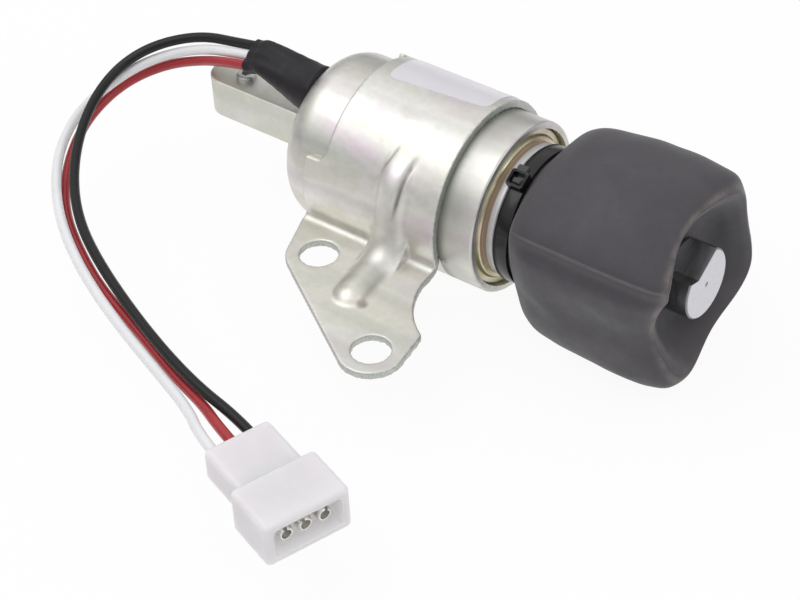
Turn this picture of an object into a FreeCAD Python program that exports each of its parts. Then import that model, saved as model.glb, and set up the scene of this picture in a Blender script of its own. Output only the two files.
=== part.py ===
import FreeCAD, Part
import math
import os

V = FreeCAD.Vector
os.makedirs("parts", exist_ok=True)

# Frame: millimetres, +Z up. The origin is the centre of the bracket's two holes on its underside.
# The coil axis runs along +X toward the plunger tip.

# Fits
FIT = 0.05                # radial and axial gap between fixed pieces that nest
RUN_CLEARANCE = 0.08      # radial gap of the sliding plunger
SOFT_CLEARANCE = 0.3      # gap between the rubber and moving steel

# Bracket
SHEET = 2.4               # thickness of the bracket sheet
HOLE_PITCH_X = 35.6
HOLE_PITCH_Y = 23.9
HOLE_R = 5.55
LUG_R = 9.5               # edge radius round each hole
AXIS_Y = 50.5             # coil axis beside and above the hole pattern
AXIS_Z = 11.0
BEND_R = 2.0              # inside radius of the bend between strap and flange
STRAP_FRONT = 13.8
STRAP_REAR = -24.7
ROOT_REAR = -31.0         # the strap is wider where it meets the flange
FAR_REAR = -28.3          # and on the far side
ROOT_ANGLE = 155.0        # where the wide root starts, seen along +X from +Y
FAR_ANGLE = 52.0
STRAP_END_ANGLE = -62.0   # free end of the strap under the can
ROOT_CORNER_R = 3.0
LUG_CORNER_X = 26.0       # corner between the outer lug edge and the relief
LUG_CORNER_Y = 0.0
LUG_CORNER_R = 1.6
RELIEF_DEPTH = 3.4        # depth of the concave front edge

# Stiffening bead pressed into flange and strap
BEAD_X = -0.9
BEAD_WIDTH = 12.0
BEAD_HEIGHT = 2.7
BEAD_END_Y = -3.2
BEAD_SLANT = 6.0          # turn of its run on the flange, seen from above
BEAD_CORNER_R = 7.0       # ridge radius in the corner
BEAD_TOP_ANGLE = 147.0
BEAD_FADE_R = 12.0        # the ridge dives into the strap on this radius
BEAD_FOOT_R = 2.0         # concave radius at the bead's foot
BEAD_SINK = 0.04          # the foot meets the sheet at a slight angle
GROOVE_R = 2.2            # hollow behind the bead

# Drawn case
CASE_R = 25.4
CASE_WALL = 2.0
CASE_FLOOR = 2.0
CASE_LENGTH = 68.0
CASE_FRONT = 25.0
SHOULDER_R = 9.0
LIP_R = 0.9

# Front plate, collar and guide tube
PLATE_RECESS = 1.6
PLATE_THICK = 5.0
HUB_STEP = 2.5            # ledge round the hub, inside the can
HUB_HEIGHT = 1.3
COLLAR_R = 19.6
COLLAR_THICK = 3.5
NECK_R = 16.9
NECK_LENGTH = 5.6
NECK_LIP = 0.5
NECK_LIP_LENGTH = 1.2
GUIDE_WALL = 0.8

# Plunger, extended at rest
STROKE = 25.4
PLUNGER_R = 10.3
TIP_REACH = 59.3          # plunger tip ahead of the case's mouth
TIP_CHAMFER = 0.5
STOP_LENGTH = 24.0
STOP_GAP = 0.3
CONE_DEPTH = 5.0
CONE_R = 6.0
BOOT_GROOVE_DEPTH = 1.0
BOOT_GROOVE_WIDTH = 3.4
BOOT_GROOVE_FROM_TIP = 12.0
NOTCH_LENGTH = 8.0
NOTCH_Y = -4.4            # inner corner of the milled notch, from the plunger axis
NOTCH_Z = 4.4
NOTCH_ANGLES = (27.6, 163.0)
CENTRE_MARK_R = 0.8

# Spring in the plunger and stop
SPRING_POCKET_R = 4.7
STOP_POCKET = 10.0
PLUNGER_POCKET = 20.0
SPRING_WIRE_R = 0.6
SPRING_MEAN_R = 3.6
SPRING_TURNS = 9

# Coil
REAR_PLATE = 8.0
BOBBIN_WALL = 1.0
BOBBIN_FLANGE = 1.6
BOBBIN_GAP = 0.6
HOLD_LENGTH = 14.0
WINDING_DROP = 1.2        # winding below the bobbin's rims

# Rear bar and its screw
BAR_SIZE = 12.7
BAR_LENGTH = 41.4
STUD_R = 4.0
STUD_LENGTH = 12.0
SCREW_FROM_TIP = 12.0
SCREW_R = 2.0
SCREW_HEAD_R = 3.0
SCREW_HEAD = 1.7
SCREW_HEX = 2.6

# Boot
BOOT_WALL = 2.0
NECK_WALL = 1.45
BOOT_HALF = 27.8          # half width across the flat sides
BOOT_CORNER = 32.2        # reach of the rounded corners
BOOT_PAST_TIP = 1.6
BOOT_SQUARE = 3.6          # how square the boot is between its flats and corners
BOOT_FLOOR = 2.3          # floor of the tucked front, round the plunger

# Tie round the boot neck
TIE_WIDTH = 4.6
TIE_THICK = 1.2
TIE_HEAD = (5.0, 6.4, 4.4)   # along the axis, round the neck, outward
TIE_HEAD_ANGLE = 117.0
TIE_TAIL = 1.6
TIE_TAIL_WIDTH = 3.6

# Label on the strap
LABEL_LENGTH = 32.0
LABEL_WIDTH = 25.0
LABEL_THICK = 0.15
LABEL_CORNER_R = 2.5
LABEL_X = -4.9
LABEL_ANGLE = 61.0
LABEL_SKEW = 5.0

# Lead-out: grommet, sleeve, wires, plug
LEAD_INSET = 8.2          # lead-out in the case's rear floor, inward of its wall
LEAD_ANGLE = 99.5
GROMMET_R = 5.0
GROMMET_FLANGE_R = 6.6
GROMMET_FLANGE = 1.2
SLEEVE_R = 7.5
SLEEVE_END = (-69.0, 49.2, 27.4)
WIRE_EXIT = (-7.7, 0.6, -2.1)
WIRE_ROW = (-0.2, 2.9, 1.6)
SLEEVE_END_A = 5.7
SLEEVE_END_B = 2.5
WIRE_D = 3.0
WIRE_FIRST_RUN = 8.0
WIRE_LAST_RUN = 9.0

PLUG_X = 13.9             # centre of the plug's rear face
PLUG_Y = -64.2
PLUG_ANGLE = -20.5
PLUG_REAR = (17.8, 19.5, 10.0)
PLUG_FRONT = (17.0, 25.0, 14.0)
PLUG_ROUND = 1.6
PIN_PITCH = 5.6
CAVITY_R = 2.5
CAVITY_DEPTH = 22.0
MOUTH = (7.0, 20.0, 9.4)      # open mouth round the terminals: depth, width, height
MOUTH_CORNER_R = 1.5
TERMINAL_R = 2.15
TERMINAL_BORE_R = 1.5
TERMINAL_BORE = 14.0
TERMINAL_LENGTH = 20.4

AXIS = V(0, AXIS_Y, AXIS_Z)
ALONG = V(1, 0, 0)
CASE_REAR = CASE_FRONT - CASE_LENGTH
CASE_IN_R = CASE_R - CASE_WALL
STRAP_R = CASE_R + SHEET
PLATE_FACE = CASE_FRONT - PLATE_RECESS
HUB_FACE = PLATE_FACE + HUB_HEIGHT
COLLAR_FACE = HUB_FACE + COLLAR_THICK
NECK_END = COLLAR_FACE + NECK_LENGTH
FLANGE_TOP = SHEET - AXIS_Z          # seen from the coil axis
GUIDE_IN_R = PLUNGER_R + RUN_CLEARANCE
GUIDE_OUT_R = GUIDE_IN_R + GUIDE_WALL
COIL_REAR = CASE_REAR + CASE_FLOOR + REAR_PLATE
COIL_FRONT = PLATE_FACE - PLATE_THICK
STOP_FACE = CASE_REAR + CASE_FLOOR + STOP_LENGTH
PLUNGER_TIP = CASE_FRONT + TIP_REACH
HUB_R = CASE_IN_R - HUB_STEP
BOBBIN_R = CASE_IN_R - BOBBIN_GAP
WINDING_R = BOBBIN_R - WINDING_DROP
BOOT_NECK_R = NECK_R + NECK_LIP + FIT + NECK_WALL
LEAD_Y = AXIS_Y + (CASE_IN_R - LEAD_INSET) * math.cos(math.radians(LEAD_ANGLE))
LEAD_Z = AXIS_Z + (CASE_IN_R - LEAD_INSET) * math.sin(math.radians(LEAD_ANGLE))
BOOT_FRONT = PLUNGER_TIP + BOOT_PAST_TIP


def save(name, shape):
    if shape.ShapeType == "Compound" and len(shape.Solids) == 1:
        shape = shape.Solids[0]
    shape.exportStep("parts/" + name + ".step")
    box = shape.BoundBox
    print(name, len(shape.Solids), "solid", round(shape.Volume, 1), "mm3, valid", shape.isValid(),
          [round(v, 2) for v in (box.XMin, box.XMax, box.YMin, box.YMax, box.ZMin, box.ZMax)])


def at(x, y, z):
    """A point given along the coil axis and from it."""
    return V(x, AXIS_Y + y, AXIS_Z + z)


def rod(x0, x1, radius):
    return Part.makeCylinder(radius, x1 - x0, at(x0, 0, 0), ALONG)


def ring(x0, x1, outer, inner):
    return rod(x0, x1, outer).cut(rod(x0 - 1, x1 + 1, inner))


def turned(profile):
    """A solid of revolution about the coil axis from (x, radius) corners."""
    points = [at(x, 0, r) for x, r in profile]
    face = Part.Face(Part.makePolygon(points + points[:1]))
    return face.revolve(at(0, 0, 0), ALONG, 360)


def polar(centre, radius, degrees, x=0.0):
    a = math.radians(degrees)
    return at(x, centre[0] + radius * math.cos(a), centre[1] + radius * math.sin(a))


def arc(centre, radius, start, end, x=0.0):
    middle = (start + end) / 2
    points = [polar(centre, radius, a, x) for a in (start, middle, end)]
    return Part.Arc(*points).toShape()


def line(p, q):
    return Part.LineSegment(p, q).toShape()


def extrude_x(edges, length):
    return Part.Face(Part.Wire(edges)).extrude(V(length, 0, 0))


def sector(x0, x1, centre, inner, outer, start, end):
    edges = [
        arc(centre, inner, start, end, x0),
        line(polar(centre, inner, end, x0), polar(centre, outer, end, x0)),
        arc(centre, outer, end, start, x0),
        line(polar(centre, outer, start, x0), polar(centre, inner, start, x0)),
    ]
    return extrude_x(edges, x1 - x0)


def edges_where(shape, test):
    return [e for e in shape.Edges if test(e)]


def tangent_point(outside, centre, radius, side):
    """Where a line from a point touches a circle, both in the XY plane."""
    away = outside - centre
    turn = side * math.acos(radius / away.Length)
    direction = math.atan2(away.y, away.x) + turn
    return centre + V(math.cos(direction), math.sin(direction), 0) * radius


# Bracket: strap round the case, bend, flange with two lugs, pressed bead

def strap_angles():
    """Angle at which the strap leaves the case for the bend, and the bend's centre."""
    drop = math.degrees(math.asin(-(FLANGE_TOP + BEND_R) / (STRAP_R + BEND_R)))
    reach = (STRAP_R + BEND_R) * math.cos(math.radians(drop))
    return drop, (-reach, FLANGE_TOP + BEND_R)


def flange(bend_y):
    hole_1 = V(-HOLE_PITCH_X / 2, HOLE_PITCH_Y / 2, 0)
    hole_2 = V(HOLE_PITCH_X / 2, -HOLE_PITCH_Y / 2, 0)
    across = hole_2 - hole_1
    outward = V(across.y, -across.x, 0).normalize()
    root = V(ROOT_REAR, bend_y, 0)
    front = V(STRAP_FRONT, bend_y, 0)
    corner = V(LUG_CORNER_X, LUG_CORNER_Y, 0)
    t1 = tangent_point(root, hole_1, LUG_R, 1)
    t2 = hole_1 + outward * LUG_R
    t3 = hole_2 + outward * LUG_R
    t4 = tangent_point(corner, hole_2, LUG_R, -1)
    lug_1 = hole_1 + (t1 + t2 - hole_1 * 2).normalize() * LUG_R
    lug_2 = hole_2 + (t3 + t4 - hole_2 * 2).normalize() * LUG_R
    chord = front - corner
    relief = corner + chord * 0.5 + V(-chord.y, chord.x, 0).normalize() * RELIEF_DEPTH
    edges = [
        line(root, t1),
        Part.Arc(t1, lug_1, t2).toShape(),
        line(t2, t3),
        Part.Arc(t3, lug_2, t4).toShape(),
        line(t4, corner),
        Part.Arc(corner, relief, front).toShape(),
        line(front, root),
    ]
    plate = Part.Face(Part.Wire(edges)).extrude(V(0, 0, SHEET))
    sharp = edges_where(plate, lambda e: abs(e.Vertexes[0].X - corner.x) < 0.01
                        and abs(e.Vertexes[-1].X - corner.x) < 0.01
                        and abs(e.Vertexes[0].Y - corner.y) < 0.01
                        and abs(e.Length - SHEET) < 0.01)
    plate = plate.makeFillet(LUG_CORNER_R, sharp)
    for hole in (hole_1, hole_2):
        plate = plate.cut(Part.makeCylinder(HOLE_R, 3 * SHEET, hole - V(0, 0, SHEET)))
    return plate


def bead_profile(half, height, foot_r):
    """Half of the ridge's outline across its run: crown, then a concave foot if it has a radius."""
    turn = 2 * math.atan(height / half)
    crown_r = (half ** 2 + height ** 2) / (2 * height) - foot_r

    def crown(share):
        a = turn * share
        return (crown_r * math.sin(a), height - crown_r * (1 - math.cos(a)))

    def foot(share):
        a = turn * (1 - share)
        return (half - foot_r * math.sin(a), foot_r * (1 - math.cos(a)))

    arcs = [(crown(0), crown(0.5), crown(1))]
    if foot_r > 0:
        arcs.append((foot(0), foot(0.5), foot(1)))
    return arcs


def ridge_edges(origin, side, up, arcs, depth):
    """One half of the ridge, from the crown down and back to the middle."""
    def p(w, h):
        return origin + side * w + up * h
    edges = [Part.Arc(*[p(*q) for q in points]).toShape() for points in arcs]
    width, level = arcs[-1][2]
    edges += [line(p(width, level), p(width, -depth)), line(p(width, -depth), p(0, -depth)),
              line(p(0, -depth), p(*arcs[0][0]))]
    return edges


def bead_run(offset, half, height, foot_r, depth):
    """The ridge along flange, corner and strap, with a domed end and a fading top."""
    corner_r = BEAD_CORNER_R + BEAD_HEIGHT
    corner_z = FLANGE_TOP + corner_r
    corner_y = -math.sqrt((STRAP_R + corner_r) ** 2 - corner_z ** 2)
    meet = math.degrees(math.atan2(corner_z, corner_y))
    start_y = BEAD_END_Y + BEAD_WIDTH / 2 - AXIS_Y
    arcs = bead_profile(half, height, foot_r)

    def section(centre, radius, degrees, inward):
        up = (polar((0, 0), 1, degrees) - at(0, 0, 0)) * inward
        origin = polar(centre, radius, degrees, BEAD_X)
        halves = [Part.Face(Part.Wire(ridge_edges(origin, ALONG * s, up, arcs, depth))) for s in (1, -1)]
        return halves[0].fuse(halves[1]).removeSplitter()

    def swing(centre, radius, start, end, inward):
        return section(centre, radius, start, inward).revolve(at(0, *centre), ALONG, end - start)

    corner = (corner_y, corner_z)
    flat = section(corner, corner_r - offset, -90, -1).extrude(V(0, start_y - corner_y, 0))
    top = polar((0, 0), STRAP_R - BEAD_FADE_R, BEAD_TOP_ANGLE) - at(0, 0, 0)

    def dome(y):
        foot = at(BEAD_X, y, FLANGE_TOP + offset)
        half_face = Part.Face(Part.Wire(ridge_edges(foot, ALONG, V(0, 0, 1), arcs, depth)))
        return half_face.revolve(foot, V(0, 0, 1), 360)

    outward = flat.fuse(dome(start_y))
    outward.rotate(at(BEAD_X, corner_y, 0), V(0, 0, 1), BEAD_SLANT)
    return outward.fuse([
        dome(corner_y),
        swing(corner, corner_r - offset, -90, meet - 180, -1),
        swing((0, 0), STRAP_R + offset, meet, BEAD_TOP_ANGLE, 1),
        swing((top.y, top.z), BEAD_FADE_R + offset, BEAD_TOP_ANGLE, BEAD_TOP_ANGLE - 70, 1),
    ])


def bracket():
    drop, bend_centre = strap_angles()
    leave = 180 + drop
    body = sector(STRAP_REAR, STRAP_FRONT, (0, 0), CASE_R, STRAP_R, STRAP_END_ANGLE, leave)
    root = sector(ROOT_REAR, STRAP_FRONT, (0, 0), CASE_R, STRAP_R, ROOT_ANGLE, leave)
    far = sector(FAR_REAR, STRAP_FRONT, (0, 0), CASE_R, STRAP_R, STRAP_END_ANGLE, FAR_ANGLE)
    bend = sector(ROOT_REAR, STRAP_FRONT, bend_centre, BEND_R, BEND_R + SHEET, -90, drop)
    body = body.fuse([root, far, bend, flange(AXIS_Y + bend_centre[0])]).removeSplitter()

    def inner_corner(e):
        c = e.CenterOfMass
        if abs(c.x - STRAP_REAR) > 0.01 or abs(e.Length - SHEET) > 0.01:
            return False
        a = math.degrees(math.atan2(c.z - AXIS_Z, c.y - AXIS_Y))
        return abs(a - ROOT_ANGLE) < 0.5 or abs(a - FAR_ANGLE) < 0.5

    body = body.makeFillet(ROOT_CORNER_R, edges_where(body, inner_corner))

    rib = bead_run(-BEAD_SINK, BEAD_WIDTH / 2, BEAD_HEIGHT + BEAD_SINK, BEAD_FOOT_R, 4.5)
    rib = rib.cut(rod(ROOT_REAR, STRAP_FRONT, STRAP_R - SHEET / 2))
    below = Part.makeBox(2 * BEAD_WIDTH, AXIS_Y, 2 * SHEET, V(BEAD_X - BEAD_WIDTH, -AXIS_Y / 2, -3 * SHEET / 2))
    rib = rib.cut(below)
    groove = bead_run(-GROOVE_R, GROOVE_R, GROOVE_R, 0, 3 * SHEET)
    return body.fuse(rib).cut(groove).removeSplitter()


# Case, plates and coil

def case_outer():
    body = rod(CASE_REAR, CASE_FRONT, CASE_R)
    rear = edges_where(body, lambda e: abs(e.CenterOfMass.x - CASE_REAR) < 0.01 and e.Closed)
    front = edges_where(body, lambda e: abs(e.CenterOfMass.x - CASE_FRONT) < 0.01 and e.Closed)
    return body.makeFillet(SHOULDER_R, rear).makeFillet(LIP_R, front)


def rear_rounded(x0, x1, radius, rounding):
    body = rod(x0, x1, radius)
    rear = edges_where(body, lambda e: abs(e.CenterOfMass.x - x0) < 0.01 and e.Closed)
    return body.makeFillet(rounding, rear)


def lead_hole(x0, x1, radius):
    return Part.makeCylinder(radius, x1 - x0, V(x0, LEAD_Y, LEAD_Z), ALONG)


def case():
    hollow = rear_rounded(CASE_REAR + CASE_FLOOR, CASE_FRONT + 1, CASE_IN_R, SHOULDER_R - CASE_WALL)
    body = case_outer().cut(hollow)
    body = body.cut(rod(CASE_REAR - 1, CASE_REAR + CASE_FLOOR + 1, STUD_R + FIT))
    return body.cut(lead_hole(CASE_REAR - 1, CASE_REAR + CASE_FLOOR + 3, GROMMET_R + FIT))


def rear_plate():
    x0 = CASE_REAR + CASE_FLOOR + FIT
    body = rear_rounded(x0, COIL_REAR, CASE_IN_R - FIT, SHOULDER_R - CASE_WALL)
    body = body.cut(rod(x0 - 1, COIL_REAR + 1, GUIDE_IN_R))
    return body.cut(lead_hole(x0 - 1, COIL_REAR + 1, GROMMET_R - 1))


def front_plate():
    return turned([
        (COIL_FRONT, GUIDE_OUT_R + FIT),
        (COIL_FRONT, CASE_IN_R - FIT),
        (PLATE_FACE - 0.6, CASE_IN_R - FIT),
        (PLATE_FACE, CASE_IN_R - 0.6),
        (PLATE_FACE, HUB_R + 0.5),
        (HUB_FACE - 0.3, HUB_R),
        (HUB_FACE, HUB_R - 0.3),
        (HUB_FACE, GUIDE_OUT_R + FIT),
    ])


def collar():
    return turned([
        (HUB_FACE, GUIDE_OUT_R + FIT),
        (HUB_FACE, COLLAR_R),
        (COLLAR_FACE - 0.4, COLLAR_R),
        (COLLAR_FACE, COLLAR_R - 0.4),
        (COLLAR_FACE, NECK_R),
        (NECK_END - 2 * NECK_LIP_LENGTH, NECK_R),
        (NECK_END - NECK_LIP_LENGTH, NECK_R + NECK_LIP),
        (NECK_END, NECK_R),
        (NECK_END, GUIDE_OUT_R + FIT),
    ])


def bobbin():
    flange_x = (COIL_REAR, COIL_FRONT - HOLD_LENGTH - 2 * BOBBIN_FLANGE, COIL_FRONT - BOBBIN_FLANGE)
    bore = GUIDE_OUT_R + FIT
    body = ring(COIL_REAR + FIT, COIL_FRONT - FIT, bore + BOBBIN_WALL, bore)
    for x in flange_x:
        x0 = max(x, COIL_REAR + FIT)
        x1 = min(x + BOBBIN_FLANGE, COIL_FRONT - FIT)
        body = body.fuse(ring(x0, x1, BOBBIN_R, bore))
    return body.removeSplitter()


def winding(x0, x1):
    return ring(x0 + FIT, x1 - FIT, WINDING_R, GUIDE_OUT_R + BOBBIN_WALL + 2 * FIT)


def back_stop():
    rear = CASE_REAR + CASE_FLOOR + FIT
    radius = GUIDE_IN_R - FIT
    body = turned([
        (CASE_REAR - STUD_LENGTH, 0),
        (CASE_REAR - STUD_LENGTH, STUD_R),
        (rear, STUD_R),
        (rear, radius),
        (STOP_FACE, radius),
        (STOP_FACE, PLUNGER_R - 0.6),
        (STOP_FACE - CONE_DEPTH, CONE_R),
        (STOP_FACE - CONE_DEPTH, 0),
    ])
    return body.cut(rod(STOP_FACE - CONE_DEPTH - STOP_POCKET, STOP_FACE, SPRING_POCKET_R))


def plunger():
    rear = STOP_FACE + STOP_GAP + STROKE
    lip = PLUNGER_TIP - BOOT_GROOVE_FROM_TIP
    small = PLUNGER_R - BOOT_GROOVE_DEPTH
    body = turned([
        (rear - CONE_DEPTH, 0),
        (rear - CONE_DEPTH, CONE_R - 0.3),
        (rear, PLUNGER_R - 0.9),
        (rear, PLUNGER_R),
        (lip, PLUNGER_R),
        (lip, small),
        (lip + BOOT_GROOVE_WIDTH, small),
        (lip + BOOT_GROOVE_WIDTH, PLUNGER_R),
        (PLUNGER_TIP - TIP_CHAMFER, PLUNGER_R),
        (PLUNGER_TIP, PLUNGER_R - TIP_CHAMFER),
        (PLUNGER_TIP, CENTRE_MARK_R),
        (PLUNGER_TIP - CENTRE_MARK_R, 0),
    ])
    body = body.cut(rod(rear - CONE_DEPTH - 1, rear - CONE_DEPTH + PLUNGER_POCKET, SPRING_POCKET_R))
    reach = 3 * PLUNGER_R
    x0 = PLUNGER_TIP - NOTCH_LENGTH
    corner = (NOTCH_Y, NOTCH_Z)
    a, b = NOTCH_ANGLES
    corners = [at(x0, *corner), polar(corner, reach, a, x0), polar(corner, 2 * reach, (a + b) / 2, x0),
               polar(corner, reach, b, x0)]
    notch = Part.Face(Part.makePolygon(corners + corners[:1])).extrude(V(NOTCH_LENGTH + 1, 0, 0))
    return body.cut(notch)


def return_spring():
    x0 = STOP_FACE - CONE_DEPTH - STOP_POCKET + SPRING_WIRE_R + FIT
    x1 = STOP_FACE + STOP_GAP + STROKE - CONE_DEPTH + PLUNGER_POCKET - SPRING_WIRE_R - FIT
    length = x1 - x0
    helix = Part.makeHelix(length / SPRING_TURNS, length, SPRING_MEAN_R)
    section = Part.Wire([Part.Circle(V(SPRING_MEAN_R, 0, 0), V(0, 1, 0), SPRING_WIRE_R).toShape()])
    body = Part.Wire(helix.Edges).makePipeShell([section], True, True)
    body.rotate(V(0, 0, 0), V(0, 1, 0), 90)
    body.translate(at(x0, 0, 0))
    return body


# Rear bar and screw

def bar_screw_x():
    return CASE_REAR - BAR_LENGTH + SCREW_FROM_TIP


def rear_bar():
    half = BAR_SIZE / 2
    x0 = CASE_REAR - BAR_LENGTH
    body = Part.makeBox(BAR_LENGTH - half, BAR_SIZE, BAR_SIZE, at(x0 + half, -half, -half))
    body = body.fuse(Part.makeCylinder(half, BAR_SIZE, at(x0 + half, 0, -half))).removeSplitter()
    top = [e for e in body.Edges if e.BoundBox.ZLength < 0.01 and e.CenterOfMass.x < CASE_REAR - 1]
    body = body.makeChamfer(0.35, top)
    body = body.cut(rod(CASE_REAR - STUD_LENGTH - FIT, CASE_REAR + 1, STUD_R + FIT))
    hole = Part.makeCylinder(SCREW_R + FIT, 3 * BAR_SIZE, at(bar_screw_x(), 0, -BAR_SIZE))
    return body.cut(hole)


def bar_screw():
    top = BAR_SIZE / 2
    head = Part.makeCylinder(SCREW_HEAD_R, SCREW_HEAD, at(bar_screw_x(), 0, top))
    rim = [e for e in head.Edges if e.Closed and abs(e.CenterOfMass.z - AXIS_Z - top - SCREW_HEAD) < 0.01]
    head = head.makeFillet(0.7, rim)
    shank = Part.makeCylinder(SCREW_R, BAR_SIZE, at(bar_screw_x(), 0, top - BAR_SIZE))
    corners = []
    for k in range(6):
        a = math.radians(60 * k)
        corners.append(at(bar_screw_x() + SCREW_HEX / math.sqrt(3) * math.cos(a),
                          SCREW_HEX / math.sqrt(3) * math.sin(a), top + 0.5))
    socket = Part.Face(Part.makePolygon(corners + corners[:1])).extrude(V(0, 0, SCREW_HEAD))
    return head.fuse(shank).cut(socket)


# Boot, tie and label

# Round the boot by turns a corner and a flat: angle about the coil axis, how far the side stands out there, and
# how far the front rim is shifted ahead and outwards
BOOT_KEYS = [
    (50.0, -0.9, -1.6, -0.3), (98.0, 0.0, -0.4, 0.0), (149.5, -0.7, -0.4, -0.8), (195.0, -0.4, -0.3, 0.0),
    (240.0, 0.8, 0.2, -0.8), (288.0, 0.0, 3.0, -0.8), (335.0, 0.0, -0.4, 0.0), (373.0, 0.0, 2.6, 0.8),
]
# Along the boot, at a flat and then at a corner: share of the way from neck to front and of the growth;
# last, how much of the rim's shift applies
BOOT_FORM = [
    (0.000, 0.00, 0.000, 0.00, 0.0), (0.007, 0.04, 0.007, 0.06, 0.0), (0.020, 0.14, 0.020, 0.25, 0.0),
    (0.048, 0.31, 0.048, 0.50, 0.0), (0.094, 0.54, 0.094, 0.72, 0.0), (0.185, 0.84, 0.185, 0.88, 0.0),
    (0.356, 0.98, 0.356, 0.94, 0.0), (0.527, 1.00, 0.527, 0.96, 0.0), (0.660, 0.98, 0.660, 0.99, 0.1),
    (0.745, 0.92, 0.774, 1.00, 0.3), (0.812, 0.80, 0.859, 0.98, 0.6), (0.861, 0.63, 0.926, 0.93, 0.8),
    (0.892, 0.44, 0.971, 0.79, 1.0), (0.903, 0.25, 0.996, 0.61, 1.0),
]
# From the rim in to the floor: share of the depth and of the radius left
BOOT_TUCK = [(0.95, 0.84), (0.78, 0.65), (0.51, 0.48), (0.24, 0.33), (0.07, 0.17), (0.0, 0.0)]


def lobed_section(station):
    """A closed curve round the coil axis through (x, radius) at each key angle, squarish in between."""
    top = 2 ** (0.5 - 1 / BOOT_SQUARE)
    points = []
    for k, key in enumerate(BOOT_KEYS):
        after = (k + 1) % len(BOOT_KEYS)
        reach = BOOT_KEYS[after][0] - key[0] + (0 if after else 360)
        for step in range(5):
            phi = math.radians(9 * step if k % 2 else 45 - 9 * step)
            bulge = (math.cos(phi) ** BOOT_SQUARE + math.sin(phi) ** BOOT_SQUARE) ** (-1 / BOOT_SQUARE)
            share = (bulge - 1) / (top - 1)
            share = share if k % 2 else 1 - share
            x, radius = [p + (q - p) * share for p, q in zip(station[k], station[after])]
            points.append(polar((0, 0), radius, key[0] + reach * step / 5, x))
    curve = Part.BSplineCurve()
    curve.interpolate(points, PeriodicFlag=True)
    return Part.Wire([curve.toShape()])


def skin(stations):
    """An open skin through sections; two sections give a straight one."""
    return Part.makeLoft([lobed_section(s) for s in stations], False, len(stations) == 2)


def boot():
    neck = COLLAR_FACE + FIT
    shoulder = neck + TIE_WIDTH + 0.4
    floor_x = PLUNGER_TIP - BOOT_GROOVE_FROM_TIP + (BOOT_GROOVE_WIDTH + BOOT_WALL) / 2
    floor_r = PLUNGER_R + BOOT_FLOOR
    lip_r = PLUNGER_R - BOOT_GROOVE_DEPTH + SOFT_CLEARANCE
    back_x = floor_x - BOOT_WALL
    bore = BOOT_NECK_R - NECK_WALL

    def round_station(x, radius):
        return [(x, radius)] * len(BOOT_KEYS)

    def body_station(row, wall):
        found = []
        for k, (_, stand, ahead, outward) in enumerate(BOOT_KEYS):
            share, growth = row[2 * (k % 2 == 0):][:2]
            full = (BOOT_CORNER if k % 2 == 0 else BOOT_HALF) + stand - BOOT_NECK_R
            found.append((shoulder + share * (BOOT_FRONT - shoulder) + ahead * row[4],
                          BOOT_NECK_R + growth * full + outward * row[4] - wall))
        return found

    rim = body_station(BOOT_FORM[-1], 0)

    def tuck_station(deep, out, shift):
        return [(floor_x + (x - floor_x) * deep - shift, floor_r + (r - floor_r) * out + shift) for x, r in rim]

    fold = [((a + c) / 2, (b + d) / 2) for (a, b), (c, d) in
            zip(body_station(BOOT_FORM[-3], 0), tuck_station(*BOOT_TUCK[1], 0))]
    outer = [body_station(row, 0) for row in BOOT_FORM]
    tuck = [rim] + [tuck_station(*row, 0) for row in BOOT_TUCK]
    under = [tuck_station(*row, BOOT_WALL) for row in BOOT_TUCK[:2:-1]] + [fold]
    inner = [fold] + [body_station(row, BOOT_WALL) for row in BOOT_FORM[-4:2:-1]]
    inner.append(round_station(shoulder + BOOT_WALL, bore))
    skins = [
        [round_station(neck, BOOT_NECK_R), outer[0]], outer, tuck,
        [tuck[-1], round_station(floor_x, lip_r)],
        [round_station(floor_x, lip_r), round_station(back_x, lip_r)],
        [round_station(back_x, lip_r), under[0]], under, inner,
        [inner[-1], round_station(neck, bore)],
        [round_station(neck, bore), round_station(neck, BOOT_NECK_R)],
    ]
    sewn = Part.makeCompound([skin(s) for s in skins])
    sewn.sewShape()
    body = Part.Solid(sewn.Shells[0])
    return body if body.Volume > 0 else body.reversed()


def boot_tie():
    x0 = COLLAR_FACE + FIT + 0.2
    inner = BOOT_NECK_R + FIT
    band = ring(x0, x0 + TIE_WIDTH, inner + TIE_THICK, inner)
    along, tall, out = TIE_HEAD
    low = inner + 0.2
    head = Part.makeBox(along, tall, out, V(x0 - (along - TIE_WIDTH) / 2, -tall / 2, low))
    head = head.makeFillet(0.8, [e for e in head.Edges if abs(e.CenterOfMass.z - low - out) < 0.01])
    tail = Part.makeBox(TIE_TAIL_WIDTH, TIE_TAIL, TIE_THICK,
                        V(x0 + (TIE_WIDTH - TIE_TAIL_WIDTH) / 2, tall / 2 - 0.2, low + out - 2 * TIE_THICK))
    lock = head.fuse(tail)
    lock.rotate(V(0, 0, 0), ALONG, TIE_HEAD_ANGLE - 90)
    lock.translate(AXIS)
    return band.fuse(lock).removeSplitter()


def label():
    half_l, half_w = LABEL_LENGTH / 2, LABEL_WIDTH / 2
    block = Part.makeBox(LABEL_LENGTH, LABEL_WIDTH, STRAP_R, V(-half_l, -half_w, STRAP_R / 2))
    block = block.makeFillet(LABEL_CORNER_R, [e for e in block.Edges if e.BoundBox.ZLength > 1])
    block.rotate(V(0, 0, 0), V(0, 0, 1), LABEL_SKEW)
    block.rotate(V(0, 0, 0), ALONG, LABEL_ANGLE - 90)
    block.translate(at(LABEL_X, 0, 0))
    skin = ring(STRAP_REAR, STRAP_FRONT, STRAP_R + LABEL_THICK, STRAP_R)
    return skin.common(block)


# Lead-out, wires and plug

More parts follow.
